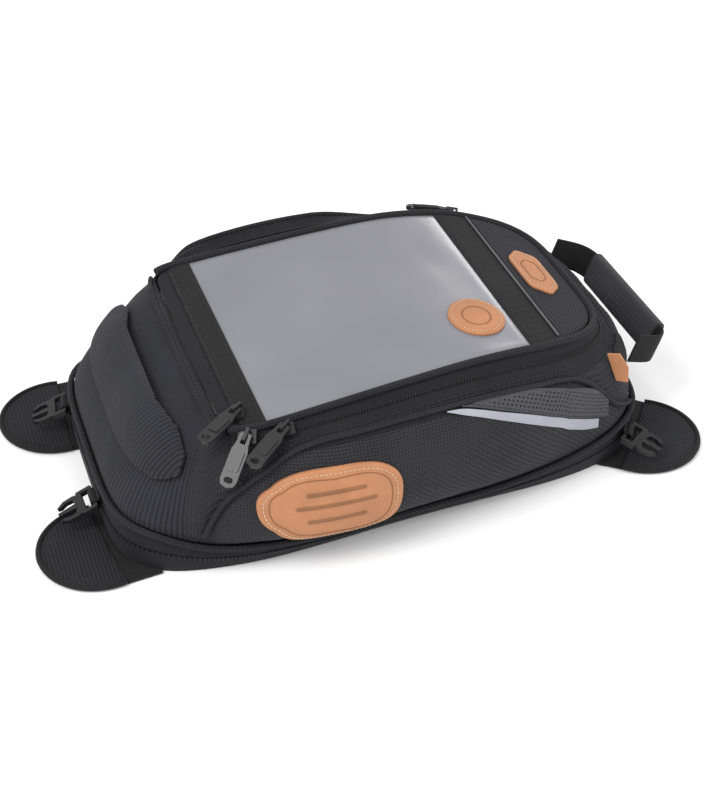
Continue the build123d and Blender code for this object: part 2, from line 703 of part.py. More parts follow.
base_points = ring_outline(BASE_LEVEL, 0.0, 60)
hinges = []
for name, degrees, sideways in FLAPS:
    out_x, out_y = math.cos(math.radians(degrees)), math.sin(math.radians(degrees))
    root = max(x * out_x + y * out_y for x, y in base_points) + FLAP_GAP
    flap_plane = Plane(origin=(out_x * root - out_y * sideways,
                               out_y * root + out_x * sideways, FLAP_Z),
                       x_dir=(out_x, out_y, 0), z_dir=(0, 0, 1))
    save_flap(name, flap_plane)
    save_magnets(name, flap_plane)
    hinges.append(flap_hinge(flap_plane))
with BuildPart() as flap_hinges:
    for hinge in hinges:
        add(hinge)
save(flap_hinges.part, "flap_hinges")

# ================================================================ buckles
# a webbing loop in the band holds the ladder bar of a plastic buckle tongue
BUCKLE_LEVEL = 0.66
BAR_OUT = 5.4                              # ladder bar, out from the wall
LOOP_LENGTH = 15
# name, along, on the right side, downward lean in degrees
BUCKLES = (("front_left", 47.0, False, 22), ("front_right", 62.0, True, 22),
           ("rear_left", 392.0, False, 12), ("rear_right", 392.0, True, 12))
# centre guide and spring arms, -y half
TONGUE_HALF = [(10.8, -10.5), (14, -11.5), (22, -11.0), (27.5, -7.0), (24.5, -6.2),
               (20, -8.2), (15, -7.6), (13, -2.4), (28, -1.6)]


def buckle_loop(bar, outward, sideways):
    with BuildPart() as loop:
        with BuildSketch(Plane(origin=bar - sideways * (LOOP_LENGTH / 2),
                               x_dir=outward, z_dir=sideways)):
            Circle(3.9)
            with Locations((-4.0, 0.0)):
                Rectangle(1.2, 4.0)
            Circle(2.9, mode=Mode.SUBTRACT)
        extrude(amount=LOOP_LENGTH)
    return loop.part


def save_buckle(name, plane):
    with BuildPart() as buckle:
        # ladder frame
        with BuildSketch(plane):
            with Locations((4.5, 0)):
                RectangleRounded(13, 25, 1.6)
            with Locations((4.0, 0)):
                Rectangle(6.4, 18.5, mode=Mode.SUBTRACT)
        extrude(amount=2.1, both=True)
        with BuildSketch(plane):
            with BuildLine():
                Polyline(*TONGUE_HALF, *flipped(TONGUE_HALF), close=True)
            make_face()
        extrude(amount=1.7, both=True)
    save(buckle.part, "buckle_" + name)


loops = []
for name, along, right_side, lean in BUCKLES:
    point, _, normal = wall_frame(along, BUCKLE_LEVEL, right_side)
    outward = Vector(normal.X, normal.Y, 0).normalized()
    sideways = Vector(0, 0, 1).cross(outward)
    bar = point + outward * BAR_OUT
    loops.append(buckle_loop(bar, outward, sideways))
    tongue = outward * math.cos(math.radians(lean)) - Vector(0, 0, math.sin(math.radians(lean)))
    save_buckle(name, Plane(origin=bar + tongue * 0.6, x_dir=tongue,
                            z_dir=tongue.cross(sideways)))
with BuildPart() as buckle_loops:
    for loop in loops:
        add(loop)
save(buckle_loops.part, "buckle_loops")
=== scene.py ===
import math
from collections import namedtuple

import bmesh
import bpy
import numpy as np
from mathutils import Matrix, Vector, noise
from mathutils.bvhtree import BVHTree


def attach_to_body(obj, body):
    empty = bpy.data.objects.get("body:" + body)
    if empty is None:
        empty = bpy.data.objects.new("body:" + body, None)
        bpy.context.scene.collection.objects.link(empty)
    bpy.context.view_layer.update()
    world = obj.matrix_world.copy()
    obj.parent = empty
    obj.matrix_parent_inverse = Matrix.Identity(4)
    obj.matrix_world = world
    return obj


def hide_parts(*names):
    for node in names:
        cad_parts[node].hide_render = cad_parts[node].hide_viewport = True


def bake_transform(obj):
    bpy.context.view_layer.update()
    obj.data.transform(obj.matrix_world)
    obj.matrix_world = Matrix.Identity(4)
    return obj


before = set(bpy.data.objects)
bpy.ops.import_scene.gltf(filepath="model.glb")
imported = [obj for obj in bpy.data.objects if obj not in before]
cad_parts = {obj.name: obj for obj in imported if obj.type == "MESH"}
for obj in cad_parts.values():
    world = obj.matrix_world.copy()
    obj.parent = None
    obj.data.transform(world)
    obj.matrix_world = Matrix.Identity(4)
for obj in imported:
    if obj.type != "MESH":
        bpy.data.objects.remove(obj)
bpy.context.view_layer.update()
MM = 0.001
UP = Vector((0, 0, 1))
SIDES = ((1, "left"), (-1, "right"))

# ------------------------------------------------------------------ shape of the wall
BASE_FRONT, BASE_REAR = -215.0, 215.0
RIM_FRONT, RIM_REAR = -136.0, 178.0

# x of the columns in the ring tables
RING_X = (BASE_FRONT, -190.0, -150.0, -110.0, -60.0, 0.0, 60.0, 110.0, 150.0, 190.0, BASE_REAR)

# Outline rings from the base up to the lid rim: front x, rear x, half-widths over RING_X,
# corner exponents of the front and rear halves, heights over RING_X
Ring = namedtuple("Ring", "front rear half_widths front_power rear_power heights")
RINGS = (
    Ring(BASE_FRONT, BASE_REAR,
         (127, 127, 127.5, 128, 125, 120, 117.5, 117, 116, 114, 113), 5.5, 4.7,
         (0,) * 11),
    Ring(-212, 213, (131, 131, 132, 134, 134, 131, 128, 124, 121, 118, 116), 5.0, 4.3,
         (38, 36, 24, 21, 20, 20, 20, 22, 26, 31, 33)),
    Ring(-208, 212, (132, 134, 140, 147, 149.5, 146, 138, 129.5, 123.5, 118, 115), 4.2, 4.0,
         (52, 50, 42, 39, 38, 38, 38, 39, 42, 46, 47)),
    Ring(-197, 209, (131, 133, 139, 148, 152, 149, 142, 132, 124, 117, 113), 4.0, 3.8,
         (66, 66, 65, 64, 64, 64, 64, 64, 65, 66, 66)),
    Ring(-180, 202, (126, 129, 136, 145, 149, 147.5, 141, 131, 121, 112, 108), 4.2, 3.7,
         (81, 81, 82, 84, 86, 87, 87, 86, 85, 85, 85)),
    Ring(-158, 193, (118, 119, 125, 134, 138, 136.5, 130, 121, 112, 103, 99), 4.6, 4.0,
         (97, 97, 98, 102, 107, 110.5, 109.5, 102, 94, 88, 87)),
    Ring(RIM_FRONT, RIM_REAR, (112, 112, 112, 113, 112, 110, 107, 102.5, 97, 91, 88), 14.0, 4.6,
         (109, 109, 109, 109.5, 114, 119.5, 123.0, 119.5, 111.5, 102, 100)),
)
# height of the lid surface over RING_X
LID_HEIGHTS = (108.2, 108.4, 109, 110.3, 115, 120.5, 124.0, 120.5, 112.5, 103, 101)


def hermite(u, start, start_slope, end, end_slope):
    return ((2 * u**3 - 3 * u**2 + 1) * start + (u**3 - 2 * u**2 + u) * start_slope
            + (-2 * u**3 + 3 * u**2) * end + (u**3 - u**2) * end_slope)


def interpolate(values, x, xs=RING_X):
    # smooth interpolation through a table, held constant beyond its ends
    count = len(xs)
    if x <= xs[0]:
        return float(values[0])
    if x >= xs[-1]:
        return float(values[-1])
    i = 0
    while x > xs[i + 1]:
        i += 1

    def slope(k):
        before, after = max(k - 1, 0), min(k + 1, count - 1)
        return (values[after] - values[before]) / (xs[after] - xs[before])

    width = xs[i + 1] - xs[i]
    return hermite((x - xs[i]) / width, values[i], slope(i) * width,
                   values[i + 1], slope(i + 1) * width)


def curve(pairs, x):
    return interpolate([pair[1] for pair in pairs], x, [pair[0] for pair in pairs])


def ease(value, start, end):
    t = min(1.0, max(0.0, (value - start) / (end - start)))
    return t * t * (3 - 2 * t)


def steps(start, length, count):
    return [start + length * i / count for i in range(count + 1)]


def spread(start, end, step):
    return steps(start, end - start, max(2, int(abs(end - start) / step)))


def value_at(value, where):
    # a plain value, or a function of the place
    return value(where) if callable(value) else value


def length_mm(vector):
    return vector.length * 1000


# The spine is the left half of a rounded rectangle inside the bag, from the front centre to
# the rear centre. A "station" is a distance along it; wall sections stand square to it.
SPINE_FRONT, SPINE_REAR, SPINE_SIDE, SPINE_RADIUS = -150.0, 165.0, -95.0, 40.0
END_RUN = abs(SPINE_SIDE) - SPINE_RADIUS
CORNER_RUN = SPINE_RADIUS * math.pi / 2
SIDE_RUN = (SPINE_REAR - SPINE_RADIUS) - (SPINE_FRONT + SPINE_RADIUS)
HALF_LOOP = END_RUN + CORNER_RUN + SIDE_RUN + CORNER_RUN + END_RUN


def spine(station):
    # x, y and outward normal
    corner_y = SPINE_SIDE + SPINE_RADIUS
    if station <= END_RUN:
        return SPINE_FRONT, -station, -1.0, 0.0
    if station <= END_RUN + CORNER_RUN:
        angle = (station - END_RUN) / SPINE_RADIUS
        nx, ny = -math.cos(angle), -math.sin(angle)
        return (SPINE_FRONT + SPINE_RADIUS + SPINE_RADIUS * nx,
                corner_y + SPINE_RADIUS * ny, nx, ny)
    if station <= END_RUN + CORNER_RUN + SIDE_RUN:
        x = SPINE_FRONT + SPINE_RADIUS + (station - END_RUN - CORNER_RUN)
        return x, SPINE_SIDE, 0.0, -1.0
    if station <= END_RUN + CORNER_RUN + SIDE_RUN + CORNER_RUN:
        angle = (station - END_RUN - CORNER_RUN - SIDE_RUN) / SPINE_RADIUS
        nx, ny = math.sin(angle), -math.cos(angle)
        return (SPINE_REAR - SPINE_RADIUS + SPINE_RADIUS * nx,
                corner_y + SPINE_RADIUS * ny, nx, ny)
    return SPINE_REAR, -(HALF_LOOP - station), 1.0, 0.0


def outline_value(ring, x, y):
    # below 1 inside the ring's outline
    middle = 0.5 * (ring.front + ring.rear)
    power = ring.rear_power if x > middle else ring.front_power
    u = abs((x - middle) / (ring.rear - middle))
    v = abs(y) / interpolate(ring.half_widths, min(max(x, ring.front), ring.rear))
    return u**power + v**power


def ring_point(ring, station):
    # distance out from the spine, and height, where a wall section meets a ring
    x, y, nx, ny = spine(station)
    low, high = -45.0, 120.0
    for _ in range(44):
        middle = 0.5 * (low + high)
        if outline_value(ring, x + nx * middle, y + ny * middle) < 1.0:
            low = middle
        else:
            high = middle
    return low, interpolate(ring.heights, x + nx * low)


SECTION_CACHE = {}


def section(station):
    # where the wall section at a station meets every ring
    key = round(station, 4)
    if key not in SECTION_CACHE:
        SECTION_CACHE[key] = [ring_point(ring, station) for ring in RINGS]
    return SECTION_CACHE[key]


def wall_point(station, level):
    # (out, z) on the wall; the level is 0 at the base, then one more at each ring, 6 at the rim
    points = section(station)
    if level <= 1.0:
        bow = 1.6 * math.sin(math.pi * max(level, 0.0))
        return (points[0][0] * (1 - level) + points[1][0] * level + bow,
                points[0][1] * (1 - level) + points[1][1] * level)
    i = min(int(level), 5)
    here, above = points[i], points[i + 1]
    # made-up neighbours past ring 1 and past the rim set the slopes there
    if i > 1:
        before = points[i - 1]
    else:
        before = (points[1][0] * 1.6 - points[2][0] * 0.6 + 1.0, points[1][1] - 8.0)
    if i < 5:
        after = points[i + 2]
    else:
        after = (2 * above[0] - here[0] - 2.0, 2 * above[1] - here[1] + 3.0)
    return tuple(hermite(level - i, here[j], 0.5 * (above[j] - before[j]),
                         above[j], 0.5 * (after[j] - here[j])) for j in (0, 1))


def wall_normal(station, level):
    # kept to one side of the crease at level 1
    reach = 0.02
    low = max(level - reach, 1.001) if level > 1.0 else max(level - reach, 0.0)
    high = min(level + reach, 6.0) if level >= 1.0 else min(level + reach, 1.0)
    start, end = wall_point(station, low), wall_point(station, high)
    dx, dz = end[0] - start[0], end[1] - start[1]
    length = math.hypot(dx, dz) or 1.0
    return dz / length, -dx / length


def swell(station, level):
    # extra height of the right shoulder
    along = ease(station, 100, 135) * (1 - ease(station, 235, 295))
    return 8.0 * along * math.exp(-((level - 4.7) / 0.8) ** 2) * (1 - ease(level, 5.2, 5.85))


def fold(around):
    # "around" is a signed station, left positive and right negative, joined at the rear
    around = (around + HALF_LOOP) % (2 * HALF_LOOP) - HALF_LOOP
    return abs(around), around < 0


def station_of(around):
    return fold(around)[0]


def wall_at(around, level, lift=0.0):
    station, right = fold(around)
    point, normal = wall_point(station, level), wall_normal(station, level)
    x, y, nx, ny = spine(station)
    out = point[0] + normal[0] * lift
    z = point[1] + normal[1] * lift + (swell(station, level) if right else 0.0)
    y += ny * out
    return Vector((x + nx * out, -y if right else y, z)) * MM


def normal_at(around, level):
    station, right = fold(around)
    out, z = wall_normal(station, level)
    _, _, nx, ny = spine(station)
    return Vector((nx * out, (-ny if right else ny) * out, z)).normalized()


def lid_height(x):
    return interpolate(LID_HEIGHTS, x)


# ------------------------------------------------------------------ seams
PANEL_LOW, PANEL_TOP = 1.07, 5.95   # levels of the panels' lower and upper edges
BASE_ZIP_LEVEL = 0.52
GUSSET_LEVEL = 5.16                 # lower edge of the zip gusset
ZIP_LEVEL = 5.60
FRONT_SEAM = 89.0                   # station of the front panel / yoke seam
REAR_SEAM = 404.0                   # station of the side / rear panel seam
ZIP_START = 104.0                   # station of the main zip's front ends
ZIP_RUN = 2 * HALF_LOOP - 2 * ZIP_START

# side seam, and edges of the reflective strip and perforated leaf: (station, level)
SIDE_SEAM = ((94, 1.25), (98, 2.3), (102.4, 3.0), (109, 3.75), (120, 4.4), (145, 4.93),
             (190, 5.0), (228, 5.0), (296, 4.97), (328, 4.93), (357, 4.75), (368, 4.0),
             (382, 2.75), (390, 2.1), (402, 1.3))
STRIP_LOW = ((250, 4.86), (262, 4.68), (275, 4.50), (290, 4.26), (305, 3.98), (320, 3.64),
             (335, 3.26), (350, 2.86), (362, 2.40), (373, 2.02))
STRIP_TOP = ((250, 4.89), (262, 4.84), (275, 4.70), (290, 4.50), (305, 4.28), (320, 4.00),
             (335, 3.64), (350, 3.26), (362, 2.80), (373, 2.40), (382, 2.06))
LEAF_TOP = ((258, 4.88), (275, 4.92), (320, 4.88), (335, 4.76), (350, 4.50), (362, 4.06),
            (373, 3.55), (382, 3.05))

LOOP = steps(-HALF_LOOP, 2 * HALF_LOOP, 300)[:-1]   # all the way round the wall
ZIP_LINE = steps(ZIP_START, ZIP_RUN, 380)           # left side, rear, right side


def side_seam(station):
    return curve(SIDE_SEAM, station)


# ------------------------------------------------------------------ materials
MATERIALS = {}


class Shader:
    def __init__(self, name):
        material = bpy.data.materials.new(name)
        MATERIALS[name] = material
        material.use_nodes = True
        self.tree = material.node_tree
        self.surface = self.tree.nodes["Principled BSDF"]
        self.coordinates = self.new("ShaderNodeTexCoord")
        self.position = self.coordinates.outputs["Object"]

    def new(self, kind):
        return self.tree.nodes.new(kind)

    def put(self, socket, value):
        if isinstance(value, bpy.types.NodeSocket):
            self.tree.links.new(value, socket)
        else:
            socket.default_value = value

    def set(self, values):
        for name, value in values.items():
            self.put(self.surface.inputs[name], value)

    def math(self, operation, first, second=0.0):
        node = self.new("ShaderNodeMath")
        node.operation = operation
        for socket, value in zip(node.inputs, (first, second, 0.0)):
            self.put(socket, value)
        return node.outputs[0]

    def multiply(self, first, second):
        return self.math("MULTIPLY", first, second)

    def vary(self, base, texture, amount):
        return self.math("ADD", base, self.multiply(texture, amount))

    def mix(self, factor, first, second):
        # sockets 6, 7 and output 2 are the colour ones
        node = self.new("ShaderNodeMix")
        node.data_type = "RGBA"
        self.put(node.inputs["Factor"], factor)
        for socket, value in ((node.inputs[6], first), (node.inputs[7], second)):
            self.put(socket, (*value, 1.0) if isinstance(value, tuple) else value)
        return node.outputs[2]

    def noise(self, scale, detail):
        node = self.new("ShaderNodeTexNoise")
        self.put(node.inputs["Vector"], self.position)
        node.inputs["Scale"].default_value = scale
        node.inputs["Detail"].default_value = detail
        return node.outputs[0]

    def threads(self, plane, pitch):
        # two coordinates counted in weave pitches; UVs are millimetres, positions metres
        split = self.new("ShaderNodeSeparateXYZ")
        by_uv = plane == "UV"
        self.put(split.inputs[0], self.coordinates.outputs["UV"] if by_uv else self.position)
        scale = 1.0 / pitch if by_uv else 1000.0 / pitch
        axes = {"UV": (0, 1), "XY": (0, 1), "YZ": (1, 2)}[plane]
        return [self.multiply(split.outputs[axis], scale) for axis in axes]

    def bump(self, height, strength, distance):
        node = self.new("ShaderNodeBump")
        node.inputs["Strength"].default_value = strength
        node.inputs["Distance"].default_value = distance
        self.put(node.inputs["Height"], height)
        self.set({"Normal": node.outputs[0]})


def scaled(color, factor, offset=0.0):
    return tuple(min(1.0, channel * factor + offset) for channel in color)


def weave_height(shader, pattern, u, v):
    def wave(phase):
        sine = shader.math("SINE", shader.multiply(phase, math.pi))
        return shader.math("ABSOLUTE", sine)

    if pattern == "basket":
        # cells alternate between ridges across u and across v
        cells = shader.math("ADD", shader.math("FLOOR", u), shader.math("FLOOR", v))
        odd = shader.math("MODULO", shader.math("ABSOLUTE", cells), 2.0)
        even = shader.math("SUBTRACT", 1.0, odd)
        return shader.math("ADD", shader.multiply(odd, wave(u)), shader.multiply(even, wave(v)))
    if pattern == "rib":
        # ridges, slightly pinched along their length
        pinch = wave(shader.multiply(v, 1.7))
        return shader.multiply(wave(u), shader.vary(base=0.75, texture=pinch, amount=0.25))
    if pattern == "webbing":
        # ridges that zigzag every four pitches
        part = shader.math("FRACT", shader.multiply(v, 0.25))
        zigzag = shader.math("ABSOLUTE", shader.math("SUBTRACT", part, 0.5))
        return wave(shader.vary(base=u, texture=zigzag, amount=4.0))
    return shader.multiply(wave(u), wave(v))


def fabric(name, color, pattern, pitch, depth, plane="UV", roughness=0.85, sheen=0.04,
           groove_shade=0.4, relief=0.8, specular=0.16):
    # the groove factor: brightness between threads, painted shade in the weave's grooves; depth:
    # bump distance in metres; relief: its strength
    shader = Shader(name)
    height = weave_height(shader, pattern, *shader.threads(plane, pitch))
    fine = shader.noise(scale=1800.0, detail=2.0)
    cloud = shader.noise(scale=22.0, detail=4.0)
    # the weave's grooves are darkened by the groove factor: painted shade
    groove_shaded_weave = shader.mix(height, scaled(color, groove_shade), color)
    fading = shader.multiply(shader.math("SUBTRACT", cloud, 0.35), 0.9)
    shader.set({
        "Base Color": shader.mix(fading, groove_shaded_weave, scaled(color, 1.35)),
        "Roughness": shader.vary(base=roughness - 0.08, texture=fine, amount=0.16),
        "Sheen Weight": sheen,
        "Sheen Roughness": 0.45,
        "Specular IOR Level": specular,
    })
    shader.bump(shader.vary(base=height, texture=fine, amount=0.25), relief, depth)


def leather(name, color, roughness):
    shader = Shader(name)
    pores = shader.new("ShaderNodeTexVoronoi")
    shader.put(pores.inputs["Vector"], shader.position)
    pores.inputs["Scale"].default_value = 900.0
    cloud = shader.noise(scale=60.0, detail=5.0)
    fine = shader.noise(scale=700.0, detail=4.0)
    clouded = shader.mix(cloud, scaled(color, 0.72), scaled(color, 1.18))
    shader.set({
        "Base Color": shader.mix(shader.multiply(fine, 0.35), clouded, scaled(color, 0.55)),
        "Roughness": shader.vary(base=roughness, texture=fine, amount=0.2),
    })
    grain = shader.vary(base=pores.outputs["Distance"], texture=fine, amount=0.6)
    shader.bump(grain, strength=0.35, distance=0.0003)


def hard(name, color, roughness, metallic=0.0, coat=0.0, grain_scale=500.0):
    shader = Shader(name)
    grain = shader.noise(scale=grain_scale, detail=4.0)
    wear = shader.noise(scale=90.0, detail=5.0)
    worn = scaled(color, 1.7, offset=0.01)
    shader.set({
        "Base Color": shader.mix(shader.multiply(wear, 0.5), color, worn),
        "Roughness": shader.vary(base=roughness - 0.05, texture=grain, amount=0.14),
        "Metallic": metallic,
        "Coat Weight": coat,
        "Specular IOR Level": 0.3,
    })
    shader.bump(grain, strength=0.05, distance=0.0003)


def film(name):
    # glossy vinyl over a grey lining, with faint long creases in the reflections; its colour is
    # painted lighter on the creases' ridges and darker in their hollows, painted highlight and
    # painted shade
    shader = Shader(name)
    long_creases = shader.noise(scale=9.0, detail=3.0)
    creases = shader.noise(scale=38.0, detail=3.0)
    # painted shade and painted highlight: the colour follows the long creases that also drive the
    # bump
    dark, light = (0.150, 0.150, 0.170), (0.225, 0.225, 0.248)
    shader.set({
        "Base Color": shader.mix(long_creases, dark, light),
        "Roughness": shader.vary(base=0.20, texture=creases, amount=0.10),
        "Specular IOR Level": 0.35,
        "Coat Weight": 0.15,
        "Coat Roughness": 0.10,
    })
    height = shader.vary(base=long_creases, texture=creases, amount=0.15)
    shader.bump(height, strength=0.22, distance=0.002)


def paint(name, color):
    shader = Shader(name)
    clouds = shader.noise(scale=2.0, detail=3.0)
    shader.set({
        "Base Color": shader.mix(clouds, color, scaled(color, 0.985)),
        "Roughness": 0.9,
        "Specular IOR Level": 0.1,
    })


fabric("ballistic_weave", (0.030, 0.030, 0.034), "basket", pitch=2.5, depth=0.0008, groove_shade=0.18)
fabric("band_cloth", (0.016, 0.016, 0.020), "plain", pitch=1.3, depth=0.0003, roughness=0.7)
fabric("zip_tape", (0.014, 0.014, 0.016), "rib", pitch=1.4, depth=0.0003, roughness=0.75)
fabric("ribbed_fabric", (0.027, 0.027, 0.035), "rib", pitch=3.2, depth=0.0009, groove_shade=0.3)
fabric("ribbed_pad", (0.029, 0.029, 0.037), "rib", pitch=3.2, depth=0.0009, plane="YZ",
       groove_shade=0.3)
fabric("flap_fabric", (0.022, 0.022, 0.027), "rib", pitch=2.8, depth=0.0007, plane="XY",
       groove_shade=0.35)
fabric("webbing", (0.015, 0.015, 0.016), "webbing", pitch=1.9, depth=0.0003, roughness=0.78,
       relief=0.5)
fabric("piping_cloth", (0.024, 0.024, 0.027), "basket", pitch=2.1, depth=0.0007, groove_shade=0.15)
fabric("grey_lining", (0.27, 0.27, 0.30), "plain", pitch=0.9, depth=0.0002, sheen=0.1)
fabric("reflective_cloth", (0.36, 0.36, 0.41), "plain", pitch=0.9, depth=0.0001,
       roughness=0.45, sheen=0.0, groove_shade=0.75)
fabric("perforated_synthetic", (0.046, 0.046, 0.054), "plain", pitch=0.8, depth=0.0001,
       roughness=0.5, sheen=0.0, groove_shade=0.8, specular=0.3)
fabric("thread", (0.040, 0.040, 0.045), "plain", pitch=0.5, depth=0.0001, plane="XY",
       roughness=0.6)
fabric("thread_tan", (0.62, 0.47, 0.33), "plain", pitch=0.5, depth=0.0001, plane="XY",
       roughness=0.6, groove_shade=0.8)
fabric("grey_cord", (0.16, 0.16, 0.17), "plain", pitch=0.6, depth=0.0001, plane="XY",
       roughness=0.6)
leather("tan_leather", (0.47, 0.20, 0.088), roughness=0.55)
leather("tan_leather_embossed", (0.25, 0.105, 0.042), roughness=0.6)
hard("zip_coil", (0.012, 0.012, 0.013), roughness=0.45)
hard("black_metal", (0.012, 0.012, 0.013), roughness=0.40, coat=0.25, grain_scale=300.0)
hard("black_plastic", (0.009, 0.009, 0.010), roughness=0.40, coat=0.05)
fabric("grip_rubber", (0.040, 0.040, 0.046), "plain", pitch=1.5, depth=0.0003,
       roughness=0.62, sheen=0.05, groove_shade=0.8)
fabric("antislip_rubber", (0.022, 0.022, 0.022), "plain", pitch=4.0, depth=0.001, plane="XY",
       roughness=0.9, sheen=0.0)
hard("board", (0.03, 0.03, 0.03), roughness=0.6)
hard("magnet", (0.55, 0.55, 0.56), roughness=0.3, metallic=1.0)
film("clear_film")


def attach(ob, body, nodes):
    if body:
        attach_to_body(ob, body)
    if nodes:
        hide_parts(*nodes)


def shade_smooth(mesh):
    mesh.polygons.foreach_set("use_smooth", [True] * len(mesh.polygons))


def add_mesh(name, verts, faces, material, body=None, nodes=(), uvs=None, angle=38.0):
    # uvs: one per vertex; angle: degrees above which an edge stays sharp
    mesh = bpy.data.meshes.new(name)
    mesh.from_pydata([tuple(vert) for vert in verts], [], faces)
    if uvs is not None:
        layer = mesh.uv_layers.new(name="UVMap")
        for polygon in mesh.polygons:
            for loop in polygon.loop_indices:
                layer.data[loop].uv = uvs[mesh.loops[loop].vertex_index]
    mesh.validate()
    bm = bmesh.new()
    bm.from_mesh(mesh)
    bmesh.ops.recalc_face_normals(bm, faces=bm.faces)
    bm.to_mesh(mesh)
    bm.free()
    shade_smooth(mesh)
    mesh.set_sharp_from_angle(angle=math.radians(angle))
    ob = bpy.data.objects.new(name, mesh)
    bpy.context.scene.collection.objects.link(ob)
    mesh.materials.append(MATERIALS[material])
    attach(ob, body, nodes)
    return ob


def sheet(name, outer, inner, material, body, nodes=(), closed=False):
    # a closed solid between two grids of points, with UVs in millimetres
    rows, columns = len(outer), len(outer[0])
    middle = columns // 2
    us, vs = [0.0], []
    for i in range(1, rows):
        us.append(us[-1] + length_mm(outer[i][middle] - outer[i - 1][middle]))
    for row in outer:
        run = [0.0]
        for j in range(1, columns):
            run.append(run[-1] + length_mm(row[j] - row[j - 1]))
        vs.append(run)
    verts = [point for layer in (outer, inner) for row in layer for point in row]
    uvs = [(us[i], vs[i][j]) for i in range(rows) for j in range(columns)] * 2
    back = rows * columns
    last = columns - 1

    def at(i, j, layer=0):
        return layer + (i % rows) * columns + j

    faces = []
    for i in range(rows if closed else rows - 1):
        for j in range(last):
            faces.append((at(i, j), at(i + 1, j), at(i + 1, j + 1), at(i, j + 1)))
            faces.append((at(i, j + 1, back), at(i + 1, j + 1, back),
                          at(i + 1, j, back), at(i, j, back)))
        faces.append((at(i, 0), at(i, 0, back), at(i + 1, 0, back), at(i + 1, 0)))
        faces.append((at(i, last), at(i + 1, last), at(i + 1, last, back), at(i, last, back)))
    if not closed:
        end = rows - 1
        for j in range(last):
            faces.append((at(0, j), at(0, j + 1), at(0, j + 1, back), at(0, j, back)))
            faces.append((at(end, j), at(end, j, back), at(end, j + 1, back), at(end, j + 1)))
    return add_mesh(name, verts, faces, material, body, nodes, uvs)


def wall_sheet(name, positions, bottom, top, rows, material, body, nodes=(), lift=0.0,
               thick=3.0, dip=0.0, crown=0.0, wrinkle=0.0, seed=1, closed=False, edge=9.0):
    # A padded piece of wall between two levels. It dips into its seams over the edge width
    # and crowns in between.
    def ruffle(point, scale, height, shift):
        offset = Vector((shift * 7.3, shift * 1.7, shift * 3.1))
        return height * noise.noise(point * scale + offset)

    outer, inner = [], []
    for around in positions:
        station = station_of(around)
        low, high = value_at(bottom, station), value_at(top, station)
        height = length_mm(wall_at(around, high) - wall_at(around, low))
        to_end = math.inf
        if not closed:
            to_end = min(abs(around - positions[0]), abs(around - positions[-1]))
        outer_row, inner_row = [], []
        for j in range(rows + 1):
            t = j / rows
            level = low + (high - low) * t
            inset = min(t * height, (1 - t) * height, to_end)
            point = wall_at(around, level)
            rise = lift - dip * (1 - ease(inset, 0, edge)) + crown * ease(inset, 0, 34)
            rise += (ruffle(point, 26.0, wrinkle, seed)
                     + ruffle(point, 70.0, wrinkle * 0.35, seed + 2)) * ease(inset, 0, 12)
            outer_row.append(wall_at(around, level, rise))
            inner_row.append(wall_at(around, level, lift - thick - dip))
        outer.append(outer_row)
        inner.append(inner_row)
    return sheet(name, outer, inner, material, body, nodes, closed)


def loft_faces(rings, size, first=0, closed=False):
    # quads between successive rings of points, with end caps unless closed
    faces = []
    for ring in range(rings if closed else rings - 1):
        here, after = first + ring * size, first + (ring + 1) % rings * size
        faces += [(here + k, here + (k + 1) % size, after + (k + 1) % size, after + k)
                  for k in range(size)]
    if not closed:
        faces.append(tuple(range(first, first + size))[::-1])
        faces.append(tuple(range(first + (rings - 1) * size, first + rings * size)))
    return faces


def tube(name, points, radius, material, body, nodes=(), closed=False, segments=10, up_hint=UP,
         flatness=1.0):
    count = len(points)
    verts, uvs, run = [], [], 0.0
    for i, point in enumerate(points):
        before = points[(i - 1) % count] if closed or i > 0 else point
        after = points[(i + 1) % count] if closed or i < count - 1 else point
        tangent = (after - before).normalized()
        hint = up_hint if abs(tangent.dot(up_hint)) < 0.98 else Vector((1, 0, 0))
        side = tangent.cross(hint).normalized()
        up = side.cross(tangent)
        if i:
            run += length_mm(point - points[i - 1])
        for k in range(segments):
            angle = 2 * math.pi * k / segments
            offset = side * math.cos(angle) + up * math.sin(angle) * flatness
            verts.append(point + offset * radius * MM)
            uvs.append((run, k * 2 * math.pi * radius / segments))
    faces = loft_faces(count, segments, closed=closed)
    return add_mesh(name, verts, faces, material, body, nodes, uvs)


# Stitches and zip teeth, gathered into one mesh per group.
# A group is (object name, material, body, replaced nodes).
BEADS = {}
LEAF_STITCH = ("leaf_stitch", "thread", "bag", ())
PANEL_STITCH = ("panel_stitch", "thread", "bag", ())
BADGE_STITCH = ("badge_stitch", "thread_tan", "bag", ())
GUSSET_STITCH = ("gusset_stitch", "thread", "bag", ())
LID_STITCH = ("lid_stitch", "thread", "lid", ())
BASE_TEETH = ("base_zip_teeth", "zip_coil", "base", ("base_zip_coil",))
BAG_TEETH = ("main_teeth_bag", "zip_coil", "bag", ("zip_coil_lower",))
LID_TEETH = ("main_teeth_lid", "zip_coil", "lid", ("zip_coil_upper",))
MAP_TEETH = ("map_teeth", "zip_coil", "lid", ())
TOOTH_PITCH = 1.5                                       # base and map zips
BEAD_RINGS = ((-0.5, 0.35), (-0.3, 1.0), (0.3, 1.0), (0.5, 0.35))   # place along, thickness


def bead(group, centre, direction, up, length, width, height):
    verts, faces = BEADS.setdefault(group, ([], []))
    direction = direction.normalized()
    side = direction.cross(up).normalized()
    up = side.cross(direction)
    faces += loft_faces(len(BEAD_RINGS), 6, first=len(verts))
    for along, size in BEAD_RINGS:
        for k in range(6):
            angle = 2 * math.pi * k / 6
            offset = side * math.cos(angle) * width + up * math.sin(angle) * height
            verts.append(centre + direction * along * length * MM + offset * 0.5 * size * MM)


def walk(points, pitch):
    # even steps along a polyline: point and direction
    carry = 0.0
    for start, end in zip(points, points[1:]):
        length = length_mm(end - start)
        if length < 1e-6:
            continue
        direction = (end - start) / (length * MM)
        distance = carry
        while distance < length:
            yield start + (end - start) * (distance / length), direction
            distance += pitch
        carry = distance - length


